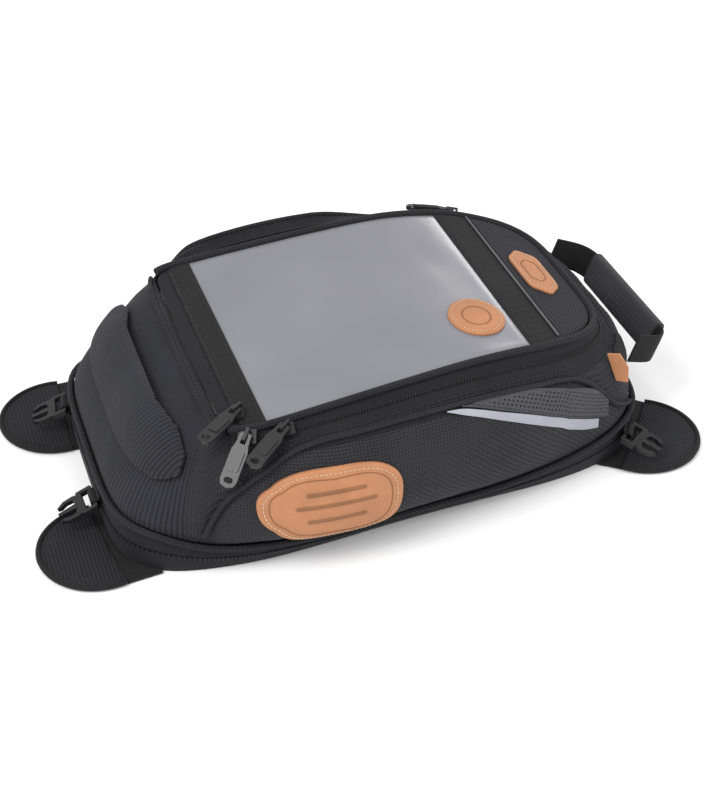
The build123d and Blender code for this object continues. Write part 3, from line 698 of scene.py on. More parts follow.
def stitches(group, points, up, pitch=4.4, length=3.0):
    width = 0.75
    for point, direction in walk(points, pitch):
        normal = value_at(up, point)
        bead(group, point + normal * 0.00012, direction, normal, length, width, width * 0.8)


def nearest(points, values):
    # function giving the value that belongs to the point nearest to a place
    def look_up(place):
        return values[min(range(len(points)), key=lambda i: (points[i] - place).length_squared)]
    return look_up


def wall_stitches(group, positions, level, lift):
    levels = [level(station_of(around)) for around in positions]
    points = [wall_at(around, at, lift) for around, at in zip(positions, levels)]
    normals = [normal_at(around, at) for around, at in zip(positions, levels)]
    stitches(group, points, nearest(points, normals))


def build_beads():
    for (name, material, body, nodes), (verts, faces) in BEADS.items():
        uvs = [(vert.x * 1000, vert.y * 1000) for vert in verts]
        add_mesh(name, verts, faces, material, body, nodes, uvs, angle=80)


def inflate(ob, voxel, soften):
    # Padding: remesh, let cloth pressure swell the piece, and hold each point within
    # max_travel of its start. voxel is in metres.
    max_travel = 3.0
    last_frame = 20
    bpy.context.view_layer.objects.active = ob
    remesh = ob.modifiers.new("remesh", "REMESH")
    remesh.mode = "VOXEL"
    remesh.voxel_size = voxel
    depsgraph = bpy.context.evaluated_depsgraph_get()
    mesh = bpy.data.meshes.new_from_object(ob.evaluated_get(depsgraph))
    ob.modifiers.clear()
    ob.data = mesh
    start = np.array([vert.co for vert in mesh.vertices], float)
    cloth = ob.modifiers.new("cloth", "CLOTH")
    cloth.settings.quality = 5
    cloth.settings.use_pressure = True
    cloth.settings.uniform_pressure_force = 4.0
    cloth.settings.effector_weights.gravity = 0.0
    cloth.settings.mass = 0.3
    cloth.point_cache.frame_start = 1
    cloth.point_cache.frame_end = last_frame
    scene = bpy.context.scene
    for number in range(1, last_frame + 1):
        scene.frame_set(number)
    depsgraph = bpy.context.evaluated_depsgraph_get()
    swollen = ob.evaluated_get(depsgraph).to_mesh()
    end = np.array([vert.co for vert in swollen.vertices], float)
    ob.modifiers.clear()
    travel = end - start
    distance = np.linalg.norm(travel, axis=1, keepdims=True)
    travel *= np.minimum(1.0, max_travel * MM / np.maximum(distance, 1e-9))
    mesh.vertices.foreach_set("co", (start + travel).astype(np.float32).ravel())
    mesh.update()
    scene.frame_set(1)
    smoothing = ob.modifiers.new("soft", "SMOOTH")
    smoothing.factor = 0.5
    smoothing.iterations = soften
    subdivision = ob.modifiers.new("s", "SUBSURF")
    subdivision.levels = subdivision.render_levels = 1
    shade_smooth(mesh)


# ------------------------------------------------------------------ base and lower band
def build_base():
    wall_sheet("base_band_cloth", LOOP, 0.0, BASE_ZIP_LEVEL - 0.02, 6, "band_cloth", "base",
               ("base_band",), closed=True, dip=0.3, edge=3.0, wrinkle=0.35, seed=3)
    gusset = wall_sheet("expansion_gusset", LOOP, 0.30, 0.78, 22, "zip_tape", None,
                        lift=-3.5, thick=0.7, closed=True)
    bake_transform(gusset)
    for i in range(2 * int(HALF_LOOP / TOOTH_PITCH)):
        around = -HALF_LOOP + i * TOOTH_PITCH
        centre, up = wall_at(around, BASE_ZIP_LEVEL, 0.9), normal_at(around, BASE_ZIP_LEVEL)
        along = (wall_at(around + 0.5, BASE_ZIP_LEVEL, 0.9)
                 - wall_at(around - 0.5, BASE_ZIP_LEVEL, 0.9))
        bead(BASE_TEETH, centre, up.cross(along), up, length=3.4, width=0.95, height=1.1)


def build_body_band():
    wall_sheet("body_band_cloth", LOOP, BASE_ZIP_LEVEL + 0.02, 0.955, 5, "band_cloth", "bag",
               ("body_band",), closed=True, dip=0.3, edge=3.0, wrinkle=0.35, seed=4)
    tube("lower_piping_cord", [wall_at(around, 0.965, 2.2) for around in LOOP], 2.4,
         "piping_cloth", "bag", ("lower_piping",), closed=True)


# ------------------------------------------------------------------ sides
def left_only(sign, node):
    # the left piece stands for the CAD node of both sides
    return (node,) if sign > 0 else ()


def side_positions(sign, start, end, step):
    return [sign * station for station in spread(start, end, step)]


def yoke_bottom(station):
    # full height in front of the side seam's start, above the seam behind it
    return PANEL_LOW if station < 94.4 else side_seam(max(station, 94.6)) + 0.05


def yoke_top(station):
    drop = PANEL_TOP - GUSSET_LEVEL + 0.02
    return PANEL_TOP - ease(station, ZIP_START - 3, ZIP_START + 3) * drop


def build_side_panels(sign, side):
    wall_sheet(f"side_panel_{side}_cloth", side_positions(sign, 93.4, REAR_SEAM - 1.0, 2.4),
               PANEL_LOW, lambda station: side_seam(station) - 0.04, 34, "ballistic_weave",
               "bag", ("side_panel_" + side,), dip=1.4, crown=1.6, wrinkle=1.6, seed=7 + sign)
    wall_sheet(f"yoke_{side}_cloth",
               side_positions(sign, FRONT_SEAM - 0.7, REAR_SEAM - 1.0, 2.2),
               yoke_bottom, yoke_top, 26, "ballistic_weave", "bag", ("yoke_" + side,),
               dip=1.1, crown=0.9, wrinkle=1.1, seed=11 + sign)
    tube("side_piping_" + side, [wall_at(sign * station, side_seam(station), 1.7)
                                 for station in spread(95.5, REAR_SEAM - 3.5, 1.6)],
         1.9, "piping_cloth", "bag", left_only(sign, "side_piping"))


def build_perforated_leaf(sign, side):
    # a fine sheet with staggered rows of real pits
    column_pitch, row_pitch = 3.6, 3.1
    pit_depth, pit_inner, pit_outer = 1.1, 0.45, 0.95   # radii of the pit's floor and mouth
    stations = spread(262, 379, 0.55)

    def middle(station):
        top = min(curve(LEAF_TOP, station), side_seam(station))
        return wall_at(station, 0.5 * (curve(STRIP_TOP, station) + top))

    total = length_mm_sum([middle(station) for station in stations])
    outer, inner, run = [], [], 0.0
    for i, station in enumerate(stations):
        low = curve(STRIP_TOP, station) + 0.05
        high = max(min(curve(LEAF_TOP, station), side_seam(station) - 0.05), low + 0.04)
        height = length_mm(wall_at(station, high) - wall_at(station, low))
        if i:
            centre = 0.5 * (low + high)
            run += length_mm(wall_at(station, centre) - wall_at(stations[i - 1], centre))
        outer_row, inner_row = [], []
        for j in range(61):
            t = j / 60
            y = t * height
            row = math.floor(y / row_pitch)
            x = ((run / column_pitch + 0.5 * (row % 2)) % 1.0 - 0.5) * column_pitch
            radius = math.hypot(x, y - (row + 0.5) * row_pitch)
            pit = 0.0
            if min(y, height - y) > 2.6 and 6 < run < total - 4:
                pit = pit_depth * (1 - ease(radius, pit_inner, pit_outer))
            inset = min(y, height - y, (i + 1) * 0.5)
            level = low + (high - low) * t
            lift = 3.3 - 0.8 * (1 - ease(inset, 0, 2.0)) - pit
            outer_row.append(wall_at(sign * station, level, lift))
            inner_row.append(wall_at(sign * station, level, 0.9))
        outer.append(outer_row)
        inner.append(inner_row)
    sheet("perforated_" + side, outer, inner, "perforated_synthetic", "bag",
          left_only(sign, "perforated_panels"))


def length_mm_sum(points):
    return sum((end - start).length for start, end in zip(points, points[1:])) * 1000


def build_side_trim(sign, side):
    wall_sheet("reflective_" + side, side_positions(sign, 250, 373, 1.4),
               lambda station: curve(STRIP_LOW, station),
               lambda station: curve(STRIP_TOP, station), 6, "reflective_cloth", "bag",
               left_only(sign, "reflective_strips"), lift=2.4, thick=1.3, dip=0.3, edge=1.5)
    wall_stitches(LEAF_STITCH, side_positions(sign, 270, 372, 2.0),
                  lambda station: curve(STRIP_TOP, station) + 0.13, lift=3.35)
    wall_stitches(PANEL_STITCH, side_positions(sign, 100, REAR_SEAM - 8, 2.0),
                  lambda station: min(GUSSET_LEVEL - 0.05, side_seam(station) + 0.20), lift=0.6)


BADGE_START, BADGE_END = 113.0, 212.0       # stations of the side badge's ends
BADGE_HALF_LEVELS = 1.27
# side badge cross-section: scale of the outline, lift
BADGE_RINGS = ((0.01, 0.6), (0.3, 0.6), (0.6, 0.6), (0.85, 0.6), (1.0, 0.6), (1.0, 3.4),
               (0.985, 4.1), (0.95, 4.35), (0.8, 4.4), (0.6, 4.4), (0.3, 4.4), (0.01, 4.4))


def badge_level(station):
    return 2.95 - 0.05 * (station - 162) / 50


def signed_power(value, power):
    return math.copysign(abs(value) ** power, value)


def build_side_badge(sign, side):
    # leather badge following the wall: rolled edge, stitched border, raised plain bars
    centre, half_length = 0.5 * (BADGE_START + BADGE_END), 0.5 * (BADGE_END - BADGE_START)
    count = 96
    outline = []
    for i in range(count):
        angle = 2 * math.pi * i / count
        outline.append((signed_power(math.cos(angle), 0.62) * half_length,
                        signed_power(math.sin(angle), 0.80) * BADGE_HALF_LEVELS))

    def at(scale, i, lift):
        station = centre + outline[i][0] * scale
        return wall_at(sign * station, badge_level(station) + outline[i][1] * scale, lift)

    def inset(i, distance, lift):
        # point of the outline moved inwards by a distance
        low, high = 0.0, 1.0
        for _ in range(14):
            scale = 0.5 * (low + high)
            if length_mm(at(scale, i, lift) - at(1.0, i, lift)) > distance:
                low = scale
            else:
                high = scale
        return at(high, i, lift)

    verts = [at(scale, i, lift) for scale, lift in BADGE_RINGS for i in range(count)]
    add_mesh("side_badge_" + side, verts, loft_faces(len(BADGE_RINGS), count), "tan_leather",
             "bag", left_only(sign, "side_badges"))
    border = [inset(i % count, 4.5, 4.5) for i in range(count + 1)]
    normals = [normal_at(sign * (centre + outline[i % count][0] * 0.9), badge_level(centre))
               for i in range(count + 1)]
    stitches(BADGE_STITCH, border, nearest(border, normals), pitch=3.4, length=2.3)
    tube("badge_line_" + side, [inset(i, 8.5, 4.4) for i in range(count)], 0.45,
         "tan_leather_embossed", "bag", closed=True, segments=6)
    for i, (rise, half_bar) in enumerate(((-0.46, 21), (0.0, 29), (0.46, 21))):
        bar = [wall_at(sign * (centre + half_bar * k / 12), badge_level(centre) + rise, 4.3)
               for k in range(-12, 13)]
        tube(f"badge_bar_{side}_{i}", bar, 1.7, "tan_leather_embossed", "bag", segments=12,
             up_hint=normal_at(sign * centre, badge_level(centre)), flatness=0.5)


# ------------------------------------------------------------------ front, rear and main zip
def build_front_panel():
    wall_sheet("front_panel_cloth", spread(-FRONT_SEAM, FRONT_SEAM, 2.2), PANEL_LOW, PANEL_TOP,
               44, "ribbed_fabric", "bag", ("front_panel",), dip=0.9, crown=0.8, wrinkle=1.3,
               seed=5)


def build_rear_panel():
    overlap = 3.2
    positions = steps(REAR_SEAM - overlap, 2 * HALF_LOOP - 2 * REAR_SEAM + 2 * overlap, 72)
    wall_sheet("rear_panel_cloth", positions, PANEL_LOW, GUSSET_LEVEL - 0.02, 30,
               "ballistic_weave", "bag", ("rear_panel",), dip=0.9, crown=0.7, wrinkle=1.0,
               seed=19)


def build_main_zip():
    wall_sheet("gusset_lower_cloth", ZIP_LINE, GUSSET_LEVEL - 0.35, ZIP_LEVEL - 0.02, 7,
               "zip_tape", "bag", ("zip_gusset_lower",), thick=1.6)
    wall_sheet("gusset_upper_cloth", ZIP_LINE, ZIP_LEVEL + 0.02, 5.93, 5,
               "zip_tape", "lid", ("zip_gusset_upper",), thick=1.6)
    count = 700
    positions = steps(ZIP_START + 3, ZIP_RUN - 6, count)
    points = [wall_at(around, ZIP_LEVEL, 0.8) for around in positions]
    for i in range(count):
        # teeth alternate between the bag's half and the lid's half
        up = normal_at(positions[i], ZIP_LEVEL)
        across = up.cross(points[i + 1] - points[i]).normalized()
        if across.z < 0:
            across = -across
        group, shift = (LID_TEETH, 0.0007) if i % 2 else (BAG_TEETH, -0.0007)
        bead(group, points[i] + across * shift, across, up, length=2.6, width=0.85, height=1.1)
    wall_stitches(GUSSET_STITCH, ZIP_LINE[::2], lambda station: GUSSET_LEVEL + 0.06, lift=0.35)


def build_lining():
    wall_sheet("lining_cloth", LOOP, 2.6, 4.5, 8, "grey_lining", "bag", ("inner_lining",),
               lift=-4.2, thick=0.9, closed=True)


def build_grab_handle():
    # a padded band across the front, bowed away from the panel between its ends
    half_span = 86
    outer, inner = [], []
    for around in spread(-half_span, half_span, 1.8):
        end = ease(abs(around), 44, half_span)
        rounding = max(0.0, abs(around) - 70.0) / 16.5
        tall = 1.90 * max(0.42, math.sqrt(max(0.0, 1 - rounding * rounding)))
        outer_row, inner_row = [], []
        for j in range(15):
            t = j / 14
            level = 4.00 + tall * (t - 0.5)
            middle = (2.2 + 7.4 * ease(t, 0.0, 0.7)) * (1 - end) + 1.2 * end
            half_thick = 0.9 + (2.6 - 1.4 * end) * math.sin(math.pi * t) ** 0.6
            outer_row.append(wall_at(around, level, middle + half_thick))
            inner_row.append(wall_at(around, level, middle - half_thick))
        outer.append(outer_row)
        inner.append(inner_row)
    pad = sheet("grab_handle_pad", outer, inner, "ribbed_pad", None)
    inflate(pad, voxel=0.0021, soften=9)
    pad.data.materials.clear()
    pad.data.materials.append(MATERIALS["ribbed_pad"])
    attach(pad, "bag", ("grab_handle",))


def build_front_edge():
    tube("front_seam_cord", [wall_at(around, 5.85, 1.2) for around in spread(-99.0, 99.0, 2.0)],
         1.8, "piping_cloth", "bag", segments=12)
    # facing inside the front panel's top edge, under the lid tape
    half_width, rear_x, top_z, thick = 98.0, -132.2, 107.9, 1.0
    outer, inner = [], []
    for y in steps(-half_width, 2 * half_width, 60):
        front_x = -138.2 + 5.0 * ease(abs(y), 80, half_width)
        for layer, z in ((outer, top_z), (inner, top_z - thick)):
            layer.append([Vector((front_x + (rear_x - front_x) * k / 4, y, z - 0.1 * k)) * MM
                          for k in range(5)])
    sheet("front_facing", outer, inner, "ribbed_fabric", "bag")


def build_handle_anchors():
    for sign, side in SIDES:
        wall_sheet("anchor_" + side, side_positions(sign, 396.5, 412, 1.6), 3.15, 4.35, 8,
                   "webbing", "bag", left_only(sign, "handle_anchors"), lift=2.1, thick=1.6,
                   dip=0.3, edge=1.5)


# ------------------------------------------------------------------ lid
# x of the lid's cross seams
MAP_TAPE_FRONT, MAP_ZIP, WINDOW_FRONT, WINDOW_REAR, REAR_STRIP = (
    -133.5, -119.0, -101.5, 103.5, 128.5)


def lid_half_width(x, inset):
    rim = RINGS[6]
    middle = 0.5 * (rim.front + rim.rear)
    if x > middle:
        power, end = rim.rear_power, rim.rear - inset
    else:
        power, end = rim.front_power, rim.front + inset
    u = min(1.0, abs((x - middle) / (end - middle)))
    width = interpolate(rim.half_widths, min(max(x, rim.front), rim.rear)) - inset
    return max(0.4, width * (1 - u ** power) ** (1 / power))


def lid_wave(x, y, seed):
    return (noise.noise(Vector((x * 0.018, y * 0.013, seed)))
            + 0.35 * noise.noise(Vector((x * 0.05, y * 0.02, seed + 4))))


def lid_sheet(name, front, rear, top, material, node, bottom=-0.75, inset=3.6, dip=0.35,
              wave=0.0, seed=1):
    # full-width piece of lid; top and bottom are heights over the lid surface
    outer, inner = [], []
    for t in steps(0, 1, max(6, int((rear - front) / 2.4))):
        if rear > 170:
            # closer rows towards the rounded rear rim
            t = math.sin(t * math.pi / 2)
        x = front + (rear - front) * t
        half_width = lid_half_width(x, inset)
        outer_row, inner_row = [], []
        for across in steps(-1, 2, 60):
            y = half_width * across
            edge = min(abs(x - front), abs(x - rear), half_width - abs(y))
            z = lid_height(x) + top - dip * (1 - ease(edge, 0, 3.5))
            z += lid_wave(x, y, seed) * wave * ease(edge, 0, 14)
            outer_row.append(Vector((x, y, z)) * MM)
            inner_row.append(Vector((x, y, lid_height(x) + bottom)) * MM)
        outer.append(outer_row)
        inner.append(inner_row)
    sheet(name, outer, inner, material, "lid", (node,))


def lid_line(x, inset, rise, count):
    # points straight across the lid
    half_width = lid_half_width(x, inset)
    return [Vector((x, y, lid_height(x) + rise)) * MM
            for y in steps(-half_width, 2 * half_width, count)]


def build_lid():
    lid_sheet("lid_liner", -131.5, RIM_REAR - 4.8, -1.0, "grey_lining", "lid_panel",
              bottom=-3.5, inset=4.3)
    lid_sheet("map_tape", MAP_TAPE_FRONT, MAP_ZIP - 0.3, 0.5, "zip_tape", "map_zip_tape")
    lid_sheet("front_strip_web", MAP_ZIP + 0.3, WINDOW_FRONT - 0.2, 1.2, "webbing",
              "front_strip")
    lid_sheet("window_film_sheet", WINDOW_FRONT + 0.1, WINDOW_REAR - 0.1, 0.35, "clear_film",
              "window_film", dip=0.5, wave=1.1, seed=6)
    lid_sheet("rear_strip_web", WINDOW_REAR + 0.2, REAR_STRIP - 0.2, 1.2, "webbing",
              "rear_strip")
    lid_sheet("rear_lid_cloth", REAR_STRIP + 0.2, RIM_REAR - 3.6, 1.8, "ribbed_fabric",
              "rear_lid_panel", dip=1.0, wave=0.8)


def build_lid_trim():
    rim = []
    for around in ZIP_LINE:
        station, right = fold(around)
        out, z = section(station)[6]
        x, y, nx, ny = spine(station)
        y += ny * out
        rim.append(Vector((x + nx * out, -y if right else y, z + 1.2)) * MM)
    tube("lid_piping_cord", rim, 3.0, "piping_cloth", "lid", ("lid_piping",), segments=12)
    half_width = lid_half_width(REAR_STRIP, 5)
    cord_z = lid_height(REAR_STRIP) + 2.1
    tube("rear_grey_cord", [Vector((REAR_STRIP + 0.8, y, cord_z)) * MM
                            for y in steps(-half_width, 2 * half_width, 60)],
         0.75, "grey_cord", "lid")
    for x in (MAP_ZIP + 3.0, WINDOW_FRONT - 3.0, WINDOW_REAR + 3.0, REAR_STRIP - 3.0):
        stitches(LID_STITCH, lid_line(x, inset=5, rise=1.25, count=80), UP)
    half_width = lid_half_width(MAP_ZIP, 5)
    for i in range(int(2 * half_width / TOOTH_PITCH)):
        y = -half_width + i * TOOTH_PITCH
        bead(MAP_TEETH, Vector((MAP_ZIP, y, lid_height(MAP_ZIP) + 0.75)) * MM,
             Vector((1, 0, 0)), UP, length=3.4 + 0.2, width=0.95, height=1.1)


# lid patch cross-section: scale of the outline, height over its underside
PATCH_RINGS = ((1.0, 0.0), (1.0, 1.3), (0.965, 1.9), (0.55, 2.05), (0.02, 2.1))
WINDOW_PATCH = [(21.0 * math.cos(2 * math.pi * i / 48), 24.5 * math.sin(2 * math.pi * i / 48))
                for i in range(48)]
# corners of the lid badge about its centre
LID_BADGE = [(-12.5, -22), (1, -34), (12.5, -22), (12.5, 22), (-1, 34), (-12.5, 22)]


def softened(corners):
    # each side cut in six, then one pass of averaging with the neighbours
    points = []
    for (x0, y0), (x1, y1) in zip(corners, corners[1:] + corners[:1]):
        points += [(x0 + (x1 - x0) * i / 6, y0 + (y1 - y0) * i / 6) for i in range(6)]
    count = len(points)
    return [tuple((points[i - 1][axis] + 2 * points[i][axis] + points[(i + 1) % count][axis]) / 4
                  for axis in (0, 1)) for i in range(count)]


def build_patch(name, centre_x, centre_y, outline, rise, node):
    # leather patch on the lid: rounded rim, stitched border, plain embossed ring
    def ring(scale, height):
        points = []
        for dx, dy in outline:
            x = centre_x + dx * scale
            z = lid_height(x) + rise + height
            points.append(Vector((x, centre_y + dy * scale, z)) * MM)
        return points

    verts = []
    for scale, height in PATCH_RINGS:
        verts += ring(scale, 0.25 + height)
    add_mesh(name, verts, loft_faces(len(PATCH_RINGS), len(outline)), "tan_leather", "lid",
             (node,), [(0, 0)] * len(verts))
    border = ring(0.87, 2.3)
    stitches((name + "_stitch", "thread_tan", "lid", ()), border + [border[0]], UP,
             pitch=3.3, length=2.2)
    tube(name + "_ring", ring(0.5, 2.25), 0.7, "tan_leather_embossed", "lid", closed=True,
         segments=8, flatness=0.6)


# ------------------------------------------------------------------ carry handle
HANDLE_X, HANDLE_Z = 200.5, 81.0            # where the loop leaves the rear wall
HANDLE_HALF = 76.0                          # half-distance between its anchors
LOOP_OUT, LOOP_DROP = 33.0, 12.0
GRIP_HALF = 56.0
STRAP_WIDTH = 25.0
HANDLE_OUT = Vector((LOOP_OUT, 0, -LOOP_DROP)).normalized()
HANDLE_UP = Vector((LOOP_DROP, 0, LOOP_OUT)).normalized()
HANDLE_REACH = math.hypot(LOOP_OUT, LOOP_DROP)


def handle_line():
    # (distance out, y) along the strap, its corners cut three times
    right = [(3.4, HANDLE_HALF - 1), (HANDLE_REACH - 9.5, HANDLE_HALF - 4),
             (HANDLE_REACH - 2, HANDLE_HALF - 13.3), (HANDLE_REACH - 1, GRIP_HALF)]
    line = [(out, -y) for out, y in right] + right[::-1]
    for _ in range(3):
        cut = [line[0]]
        for (out0, y0), (out1, y1) in zip(line, line[1:]):
            cut += [(out0 * 0.75 + out1 * 0.25, y0 * 0.75 + y1 * 0.25),
                    (out0 * 0.25 + out1 * 0.75, y0 * 0.25 + y1 * 0.75)]
        line = cut + [line[-1]]
    return line


def ribbon(name, path, width, thick, material, node, power):
    # strap with a superellipse section; a higher power gives squarer edges
    count, segments = len(path), 20
    verts, uvs, run = [], [], 0.0
    for i, (out, y) in enumerate(path):
        before, after = path[max(0, i - 1)], path[min(count - 1, i + 1)]
        step_out, step_y = after[0] - before[0], after[1] - before[1]
        length = math.hypot(step_out, step_y) or 1.0
        centre = (Vector((HANDLE_X, 0, HANDLE_Z)) + HANDLE_OUT * out) + Vector((0, y, 0))
        normal = HANDLE_OUT * (step_y / length) + Vector((0, -step_out / length, 0))
        if i:
            run += math.hypot(out - path[i - 1][0], y - path[i - 1][1])
        for k in range(segments):
            angle = 2 * math.pi * k / segments
            verts.append((centre
                          + HANDLE_UP * (width / 2) * signed_power(math.cos(angle), 2 / power)
                          + normal * (thick / 2) * signed_power(math.sin(angle), 2 / power)) * MM)
            uvs.append((run, k * width / segments * 2))
    add_mesh(name, verts, loft_faces(count, segments), material, "carry_handle", (node,), uvs,
             angle=50)


def build_carry_handle():
    ribbon("carry_strap", handle_line(), STRAP_WIDTH, 2.0, "webbing", "carry_webbing", power=6.0)
    grip = [(HANDLE_REACH - 1, y) for y in steps(-GRIP_HALF + 1, 2 * GRIP_HALF - 2, 40)]
    ribbon("carry_grip_sleeve", grip, STRAP_WIDTH + 3.0, 9.8, "grip_rubber", "carry_grip",
           power=4.0)


# ------------------------------------------------------------------ magnetic flaps
FLAP_RADIUS = 46.0
FLAP_REACH = 9.0        # circle centre beyond the hinge line
FLAP_HALF_ANGLE = math.acos(-FLAP_REACH / FLAP_RADIUS)
# name, direction in degrees, shift along the hinge line
FLAPS = (("front_left", 186.0, 52.5), ("front_right", 177.0, -77.0),
         ("rear_left", -38.0, 60.0), ("rear_right", 38.0, -60.0))
# pad cross-section: scale of the outline, z
FLAP_RINGS = ((1.0, 0.4), (1.0, 3.6), (0.93, 4.6), (0.8, 4.4), (0.5, 4.4), (0.05, 4.5))
FLAP_CENTRE = 12        # x the pad's rings shrink towards


def flap_arc(inset, trim, count):
    # points inside the flap's round edge; trim is an angle left off each end, in radians
    radius = FLAP_RADIUS - inset
    return [(FLAP_REACH + radius * math.cos(angle), radius * math.sin(angle)) for angle in
            steps(-FLAP_HALF_ANGLE + trim, 2 * FLAP_HALF_ANGLE - 2 * trim, count)]


def base_outline():
    left = []
    for station in steps(0.0, HALF_LOOP, 60):
        x, y, nx, ny = spine(station)
        out = section(station)[0][0]
        left.append((x + nx * out, y + ny * out))
    return left + [(x, -y) for x, y in left[::-1][1:-1]]


def flap_pad_mesh():
    # one padded flap, hinge line on x = 0, pointing along +X
    outline = flap_arc(inset=2.0, trim=0.05, count=60)
    verts = [Vector((FLAP_CENTRE + (x - FLAP_CENTRE) * scale, y * scale, z)) * MM
             for scale, z in FLAP_RINGS for x, y in outline]
    proto = add_mesh("flap_proto", verts, loft_faces(len(FLAP_RINGS), len(outline)),
                     "flap_fabric")
    inflate(proto, voxel=0.0016, soften=4)
    depsgraph = bpy.context.evaluated_depsgraph_get()
    mesh = bpy.data.meshes.new_from_object(proto.evaluated_get(depsgraph))
    bpy.data.objects.remove(proto)
    low = min(vert.co.z for vert in mesh.vertices)
    high = max(vert.co.z for vert in mesh.vertices)
    # metres: underside, thickness, and a small clearance at the hinge
    for vert in mesh.vertices:
        vert.co.z = 0.0006 + (vert.co.z - low) / (high - low) * 0.0049
        vert.co.x = max(vert.co.x, 0.0004)
    return mesh


def build_flap(name, degrees, shift, pad_mesh, pad_surface, outline):
    body = "flap_" + name
    nx, ny = math.cos(math.radians(degrees)), math.sin(math.radians(degrees))
    root = max(x * nx + y * ny for x, y in outline) + 1.6
    root_x, root_y = nx * root - ny * shift, ny * root + nx * shift

    def place(x, y, z):
        return Vector((root_x + nx * x - ny * y, root_y + ny * x + nx * y, z)) * MM

    mesh = pad_mesh.copy()
    for vert in mesh.vertices:
        vert.co = place(vert.co.x * 1000, vert.co.y * 1000, vert.co.z * 1000)
    pad = bpy.data.objects.new("flap_pad_" + name, mesh)
    bpy.context.scene.collection.objects.link(pad)
    mesh.materials.clear()
    mesh.materials.append(MATERIALS["flap_fabric"])
    shade_smooth(mesh)
    attach(pad, body, (body,))

    edge = [place(x, y, 3.0) for x, y in flap_arc(inset=1.7, trim=0.06, count=70)]
    tube("flap_binding_" + name, edge, 2.2, "webbing", body, flatness=1.15)
    seam = []
    for x, y in flap_arc(inset=8.5, trim=0.35, count=60):
        hit = pad_surface.ray_cast(Vector((x, y, 30)) * MM, Vector((0, 0, -1)))[0]
        if hit is not None:
            seam.append(place(x, y, hit.z * 1000))
    stitches(("flap_stitch_" + name, "thread", body, ()), seam, UP)
    build_flap_hinge(name, place, [((x - root_x) * nx + (y - root_y) * ny,
                                    -(x - root_x) * ny + (y - root_y) * nx)
                                   for x, y in outline])


def build_flap_hinge(name, place, outline):
    # webbing joining the base and the flap; the outline is in the flap's frame
    def base_edge(y):
        best = -99.0
        for (x0, y0), (x1, y1) in zip(outline, outline[1:] + outline[:1]):
            if (y0 - y) * (y1 - y) <= 0 and y0 != y1:
                best = max(best, x0 + (x1 - x0) * (y - y0) / (y1 - y0))
        return best

    outer, inner = [], []
    for k in range(31):
        y = -44.7 + 2.98 * k
        start = max(base_edge(y) - 1.2, -24.0)
        xs = steps(start, 5.0 - start, 8)
        outer.append([place(x, y, 1.9 + 0.9 * math.sin(math.pi * i / 8))
                      for i, x in enumerate(xs)])
        inner.append([place(x, y, 0.6) for x in xs])
    nodes = ("flap_hinges",) if name == "front_left" else ()
    hinge = sheet("flap_hinge_" + name, outer, inner, "webbing", None, nodes)
    tuple(place(-1.6, 0, 0.4))
    tuple(place(3.5, 0, 0.4))
    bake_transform(hinge)


def build_flaps():
    mesh = flap_pad_mesh()
    surface = BVHTree.FromPolygons([vert.co.copy() for vert in mesh.vertices],
                                   [tuple(polygon.vertices) for polygon in mesh.polygons])
    outline = base_outline()
    for name, degrees, shift in FLAPS:
        build_flap(name, degrees, shift, mesh, surface, outline)


# name, signed station
BUCKLE_LOOPS = (("front_left", 47.0), ("front_right", -62.0),
                ("rear_left", 392.0), ("rear_right", -392.0))


def build_buckle_loop(name, around):
    # webbing loop that holds a buckle bar; its sizes are in metres
    centre_out, radius, thick, width = 0.0054, 0.0034, 0.0009, 0.015
    root, normal = wall_at(around, 0.66), normal_at(around, 0.66)
    out = Vector((normal.x, normal.y, 0)).normalized()
    across = UP.cross(out)
    profile = [(0.0016, 0.0060), (0.0022, 0.0035)]
    for degrees in steps(150, -300, 16):
        angle = math.radians(degrees)
        profile.append((centre_out + radius * math.cos(angle), radius * math.sin(angle)))
    profile += [(0.0022, -0.0035), (0.0016, -0.0060)]
    path = [root + out * distance + Vector((0, 0, z)) for distance, z in profile]
    outer = [[point + across * y for y in steps(-width / 2, width, 8)] for point in path]
    inner = []
    for i, point in enumerate(path):
        tangent = (path[min(len(path) - 1, i + 1)] - path[max(0, i - 1)]).normalized()
        offset = tangent.cross(across) * thick
        # the inner face lies towards the middle of the loop
        moved = (point + offset - root - out * centre_out).length
        side = 1 if moved < (point - root - out * centre_out).length else -1
        inner.append([vert + offset * side for vert in outer[i]])
    sheet("buckle_loop_" + name, outer, inner, "webbing", "bag",
          ("buckle_loops",) if name == "front_left" else ())


# ------------------------------------------------------------------ carried-over CAD nodes
def cad_material(name):
    if name.endswith(("_slider", "_pull")):
        return "black_metal"
    if name.startswith("magnets_"):
        return "magnet"
    named = {"base_panel": "antislip_rubber", "base_board": "board", "rear_tag": "tan_leather"}
    return named.get(name, "black_plastic")


def dress_cad_nodes():
    for name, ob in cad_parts.items():
        if ob.hide_render:
            continue
        material = cad_material(name)
        ob.data.materials.clear()
        ob.data.materials.append(MATERIALS[material])
        if material in ("black_metal", "black_plastic", "tan_leather"):
            bevel = ob.modifiers.new("edge", "BEVEL")
            bevel.width = 0.00045
            bevel.segments = 3
            bevel.limit_method = "ANGLE"
            bevel.angle_limit = math.radians(35)
            bevel.use_clamp_overlap = True


# ------------------------------------------------------------------ floor, light, camera (metres)
def build_floor():
    half, z = 9, -0.0004
    mesh = bpy.data.meshes.new("floor")
    corners = [(-half, -half, z), (half, -half, z), (half, half, z), (-half, half, z)]
    mesh.from_pydata(corners, [], [(0, 1, 2, 3)])
    floor = bpy.data.objects.new("floor", mesh)
    paint("pale_floor", color=(0.93, 0.93, 0.93))
    mesh.materials.append(MATERIALS["pale_floor"])
    bpy.context.scene.collection.objects.link(floor)


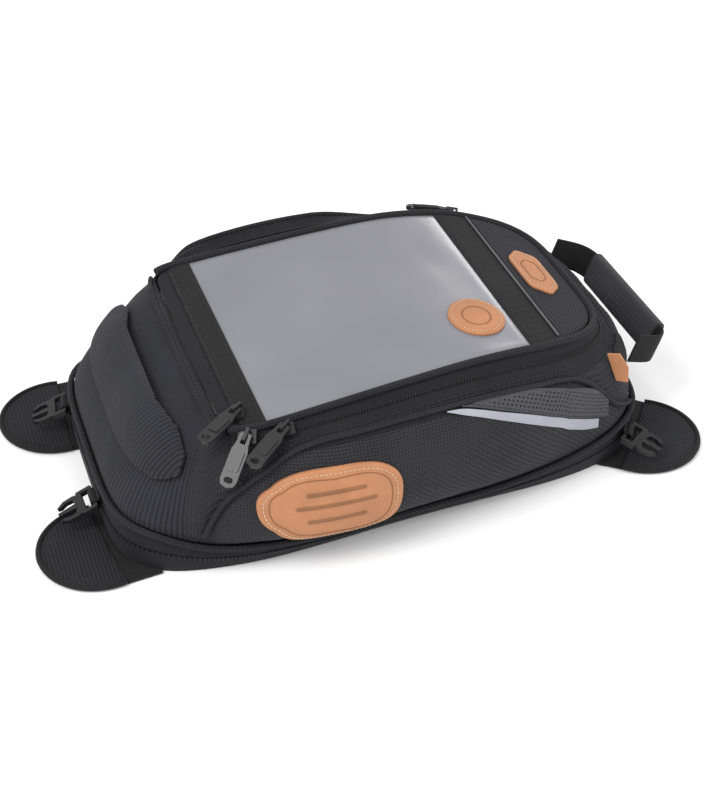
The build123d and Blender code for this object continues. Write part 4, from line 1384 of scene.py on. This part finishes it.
def build_world():
    world = bpy.data.worlds.new("studio")
    bpy.context.scene.world = world
    world.use_nodes = True
    background = world.node_tree.nodes["Background"]
    background.inputs["Color"].default_value = (1, 1, 1, 1)
    background.inputs["Strength"].default_value = 0.85


def area_light(name, location, target, size, power):
    light = bpy.data.lights.new(name, "AREA")
    light.shape = "SQUARE"
    light.size = size
    light.energy = power
    ob = bpy.data.objects.new(name, light)
    ob.location = location
    ob.rotation_mode = "QUATERNION"
    aim = Vector(target) - Vector(location)
    ob.rotation_quaternion = aim.to_track_quat("-Z", "Y")
    bpy.context.scene.collection.objects.link(ob)


def build_camera():
    azimuth, elevation = math.radians(-19.23), math.radians(37.09)
    target, distance = Vector((-0.0097, -0.043, 0.060)), 1.22332
    lens = bpy.data.cameras.new("camera")
    camera = bpy.data.objects.new("camera", lens)
    bpy.context.scene.collection.objects.link(camera)
    lens.sensor_width = 36.0
    lens.sensor_fit = "AUTO"
    lens.lens = 72.29
    lens.clip_start = 0.05
    lens.clip_end = 50
    back = Vector((math.sin(azimuth) * math.cos(elevation),
                   -math.cos(azimuth) * math.cos(elevation), math.sin(elevation)))
    camera.location = target + back * distance
    camera.rotation_mode = "QUATERNION"
    camera.rotation_quaternion = (-back).to_track_quat("-Z", "Y")
    bpy.context.scene.camera = camera


# ------------------------------------------------------------------ build
build_base()
build_body_band()
build_front_panel()
for sign, side in SIDES:
    build_side_panels(sign, side)
    build_perforated_leaf(sign, side)
    build_side_trim(sign, side)
    build_side_badge(sign, side)
build_rear_panel()
build_main_zip()
build_lining()
build_grab_handle()
build_front_edge()
build_handle_anchors()
build_lid()
build_lid_trim()
build_patch("window_patch_leather", 78.0, -55.0, WINDOW_PATCH, rise=0.05, node="window_patch")
build_patch("lid_badge_leather", 150.0, 1.0, softened(LID_BADGE), rise=1.8, node="lid_badge")
build_carry_handle()
build_flaps()
for name, around in BUCKLE_LOOPS:
    build_buckle_loop(name, around)
build_beads()
dress_cad_nodes()

build_floor()
build_world()
area_light("key", (-1.1, -0.5, 1.5), target=(0, 0, 0.05), size=0.9, power=22)
area_light("fill", (1.2, -0.9, 0.9), target=(0, 0, 0.05), size=1.0, power=12)
area_light("back", (0.9, 1.3, 0.7), target=(0.08, 0.05, 0.1), size=0.35, power=2.2)
build_camera()
bpy.context.scene.view_settings.view_transform = "Standard"
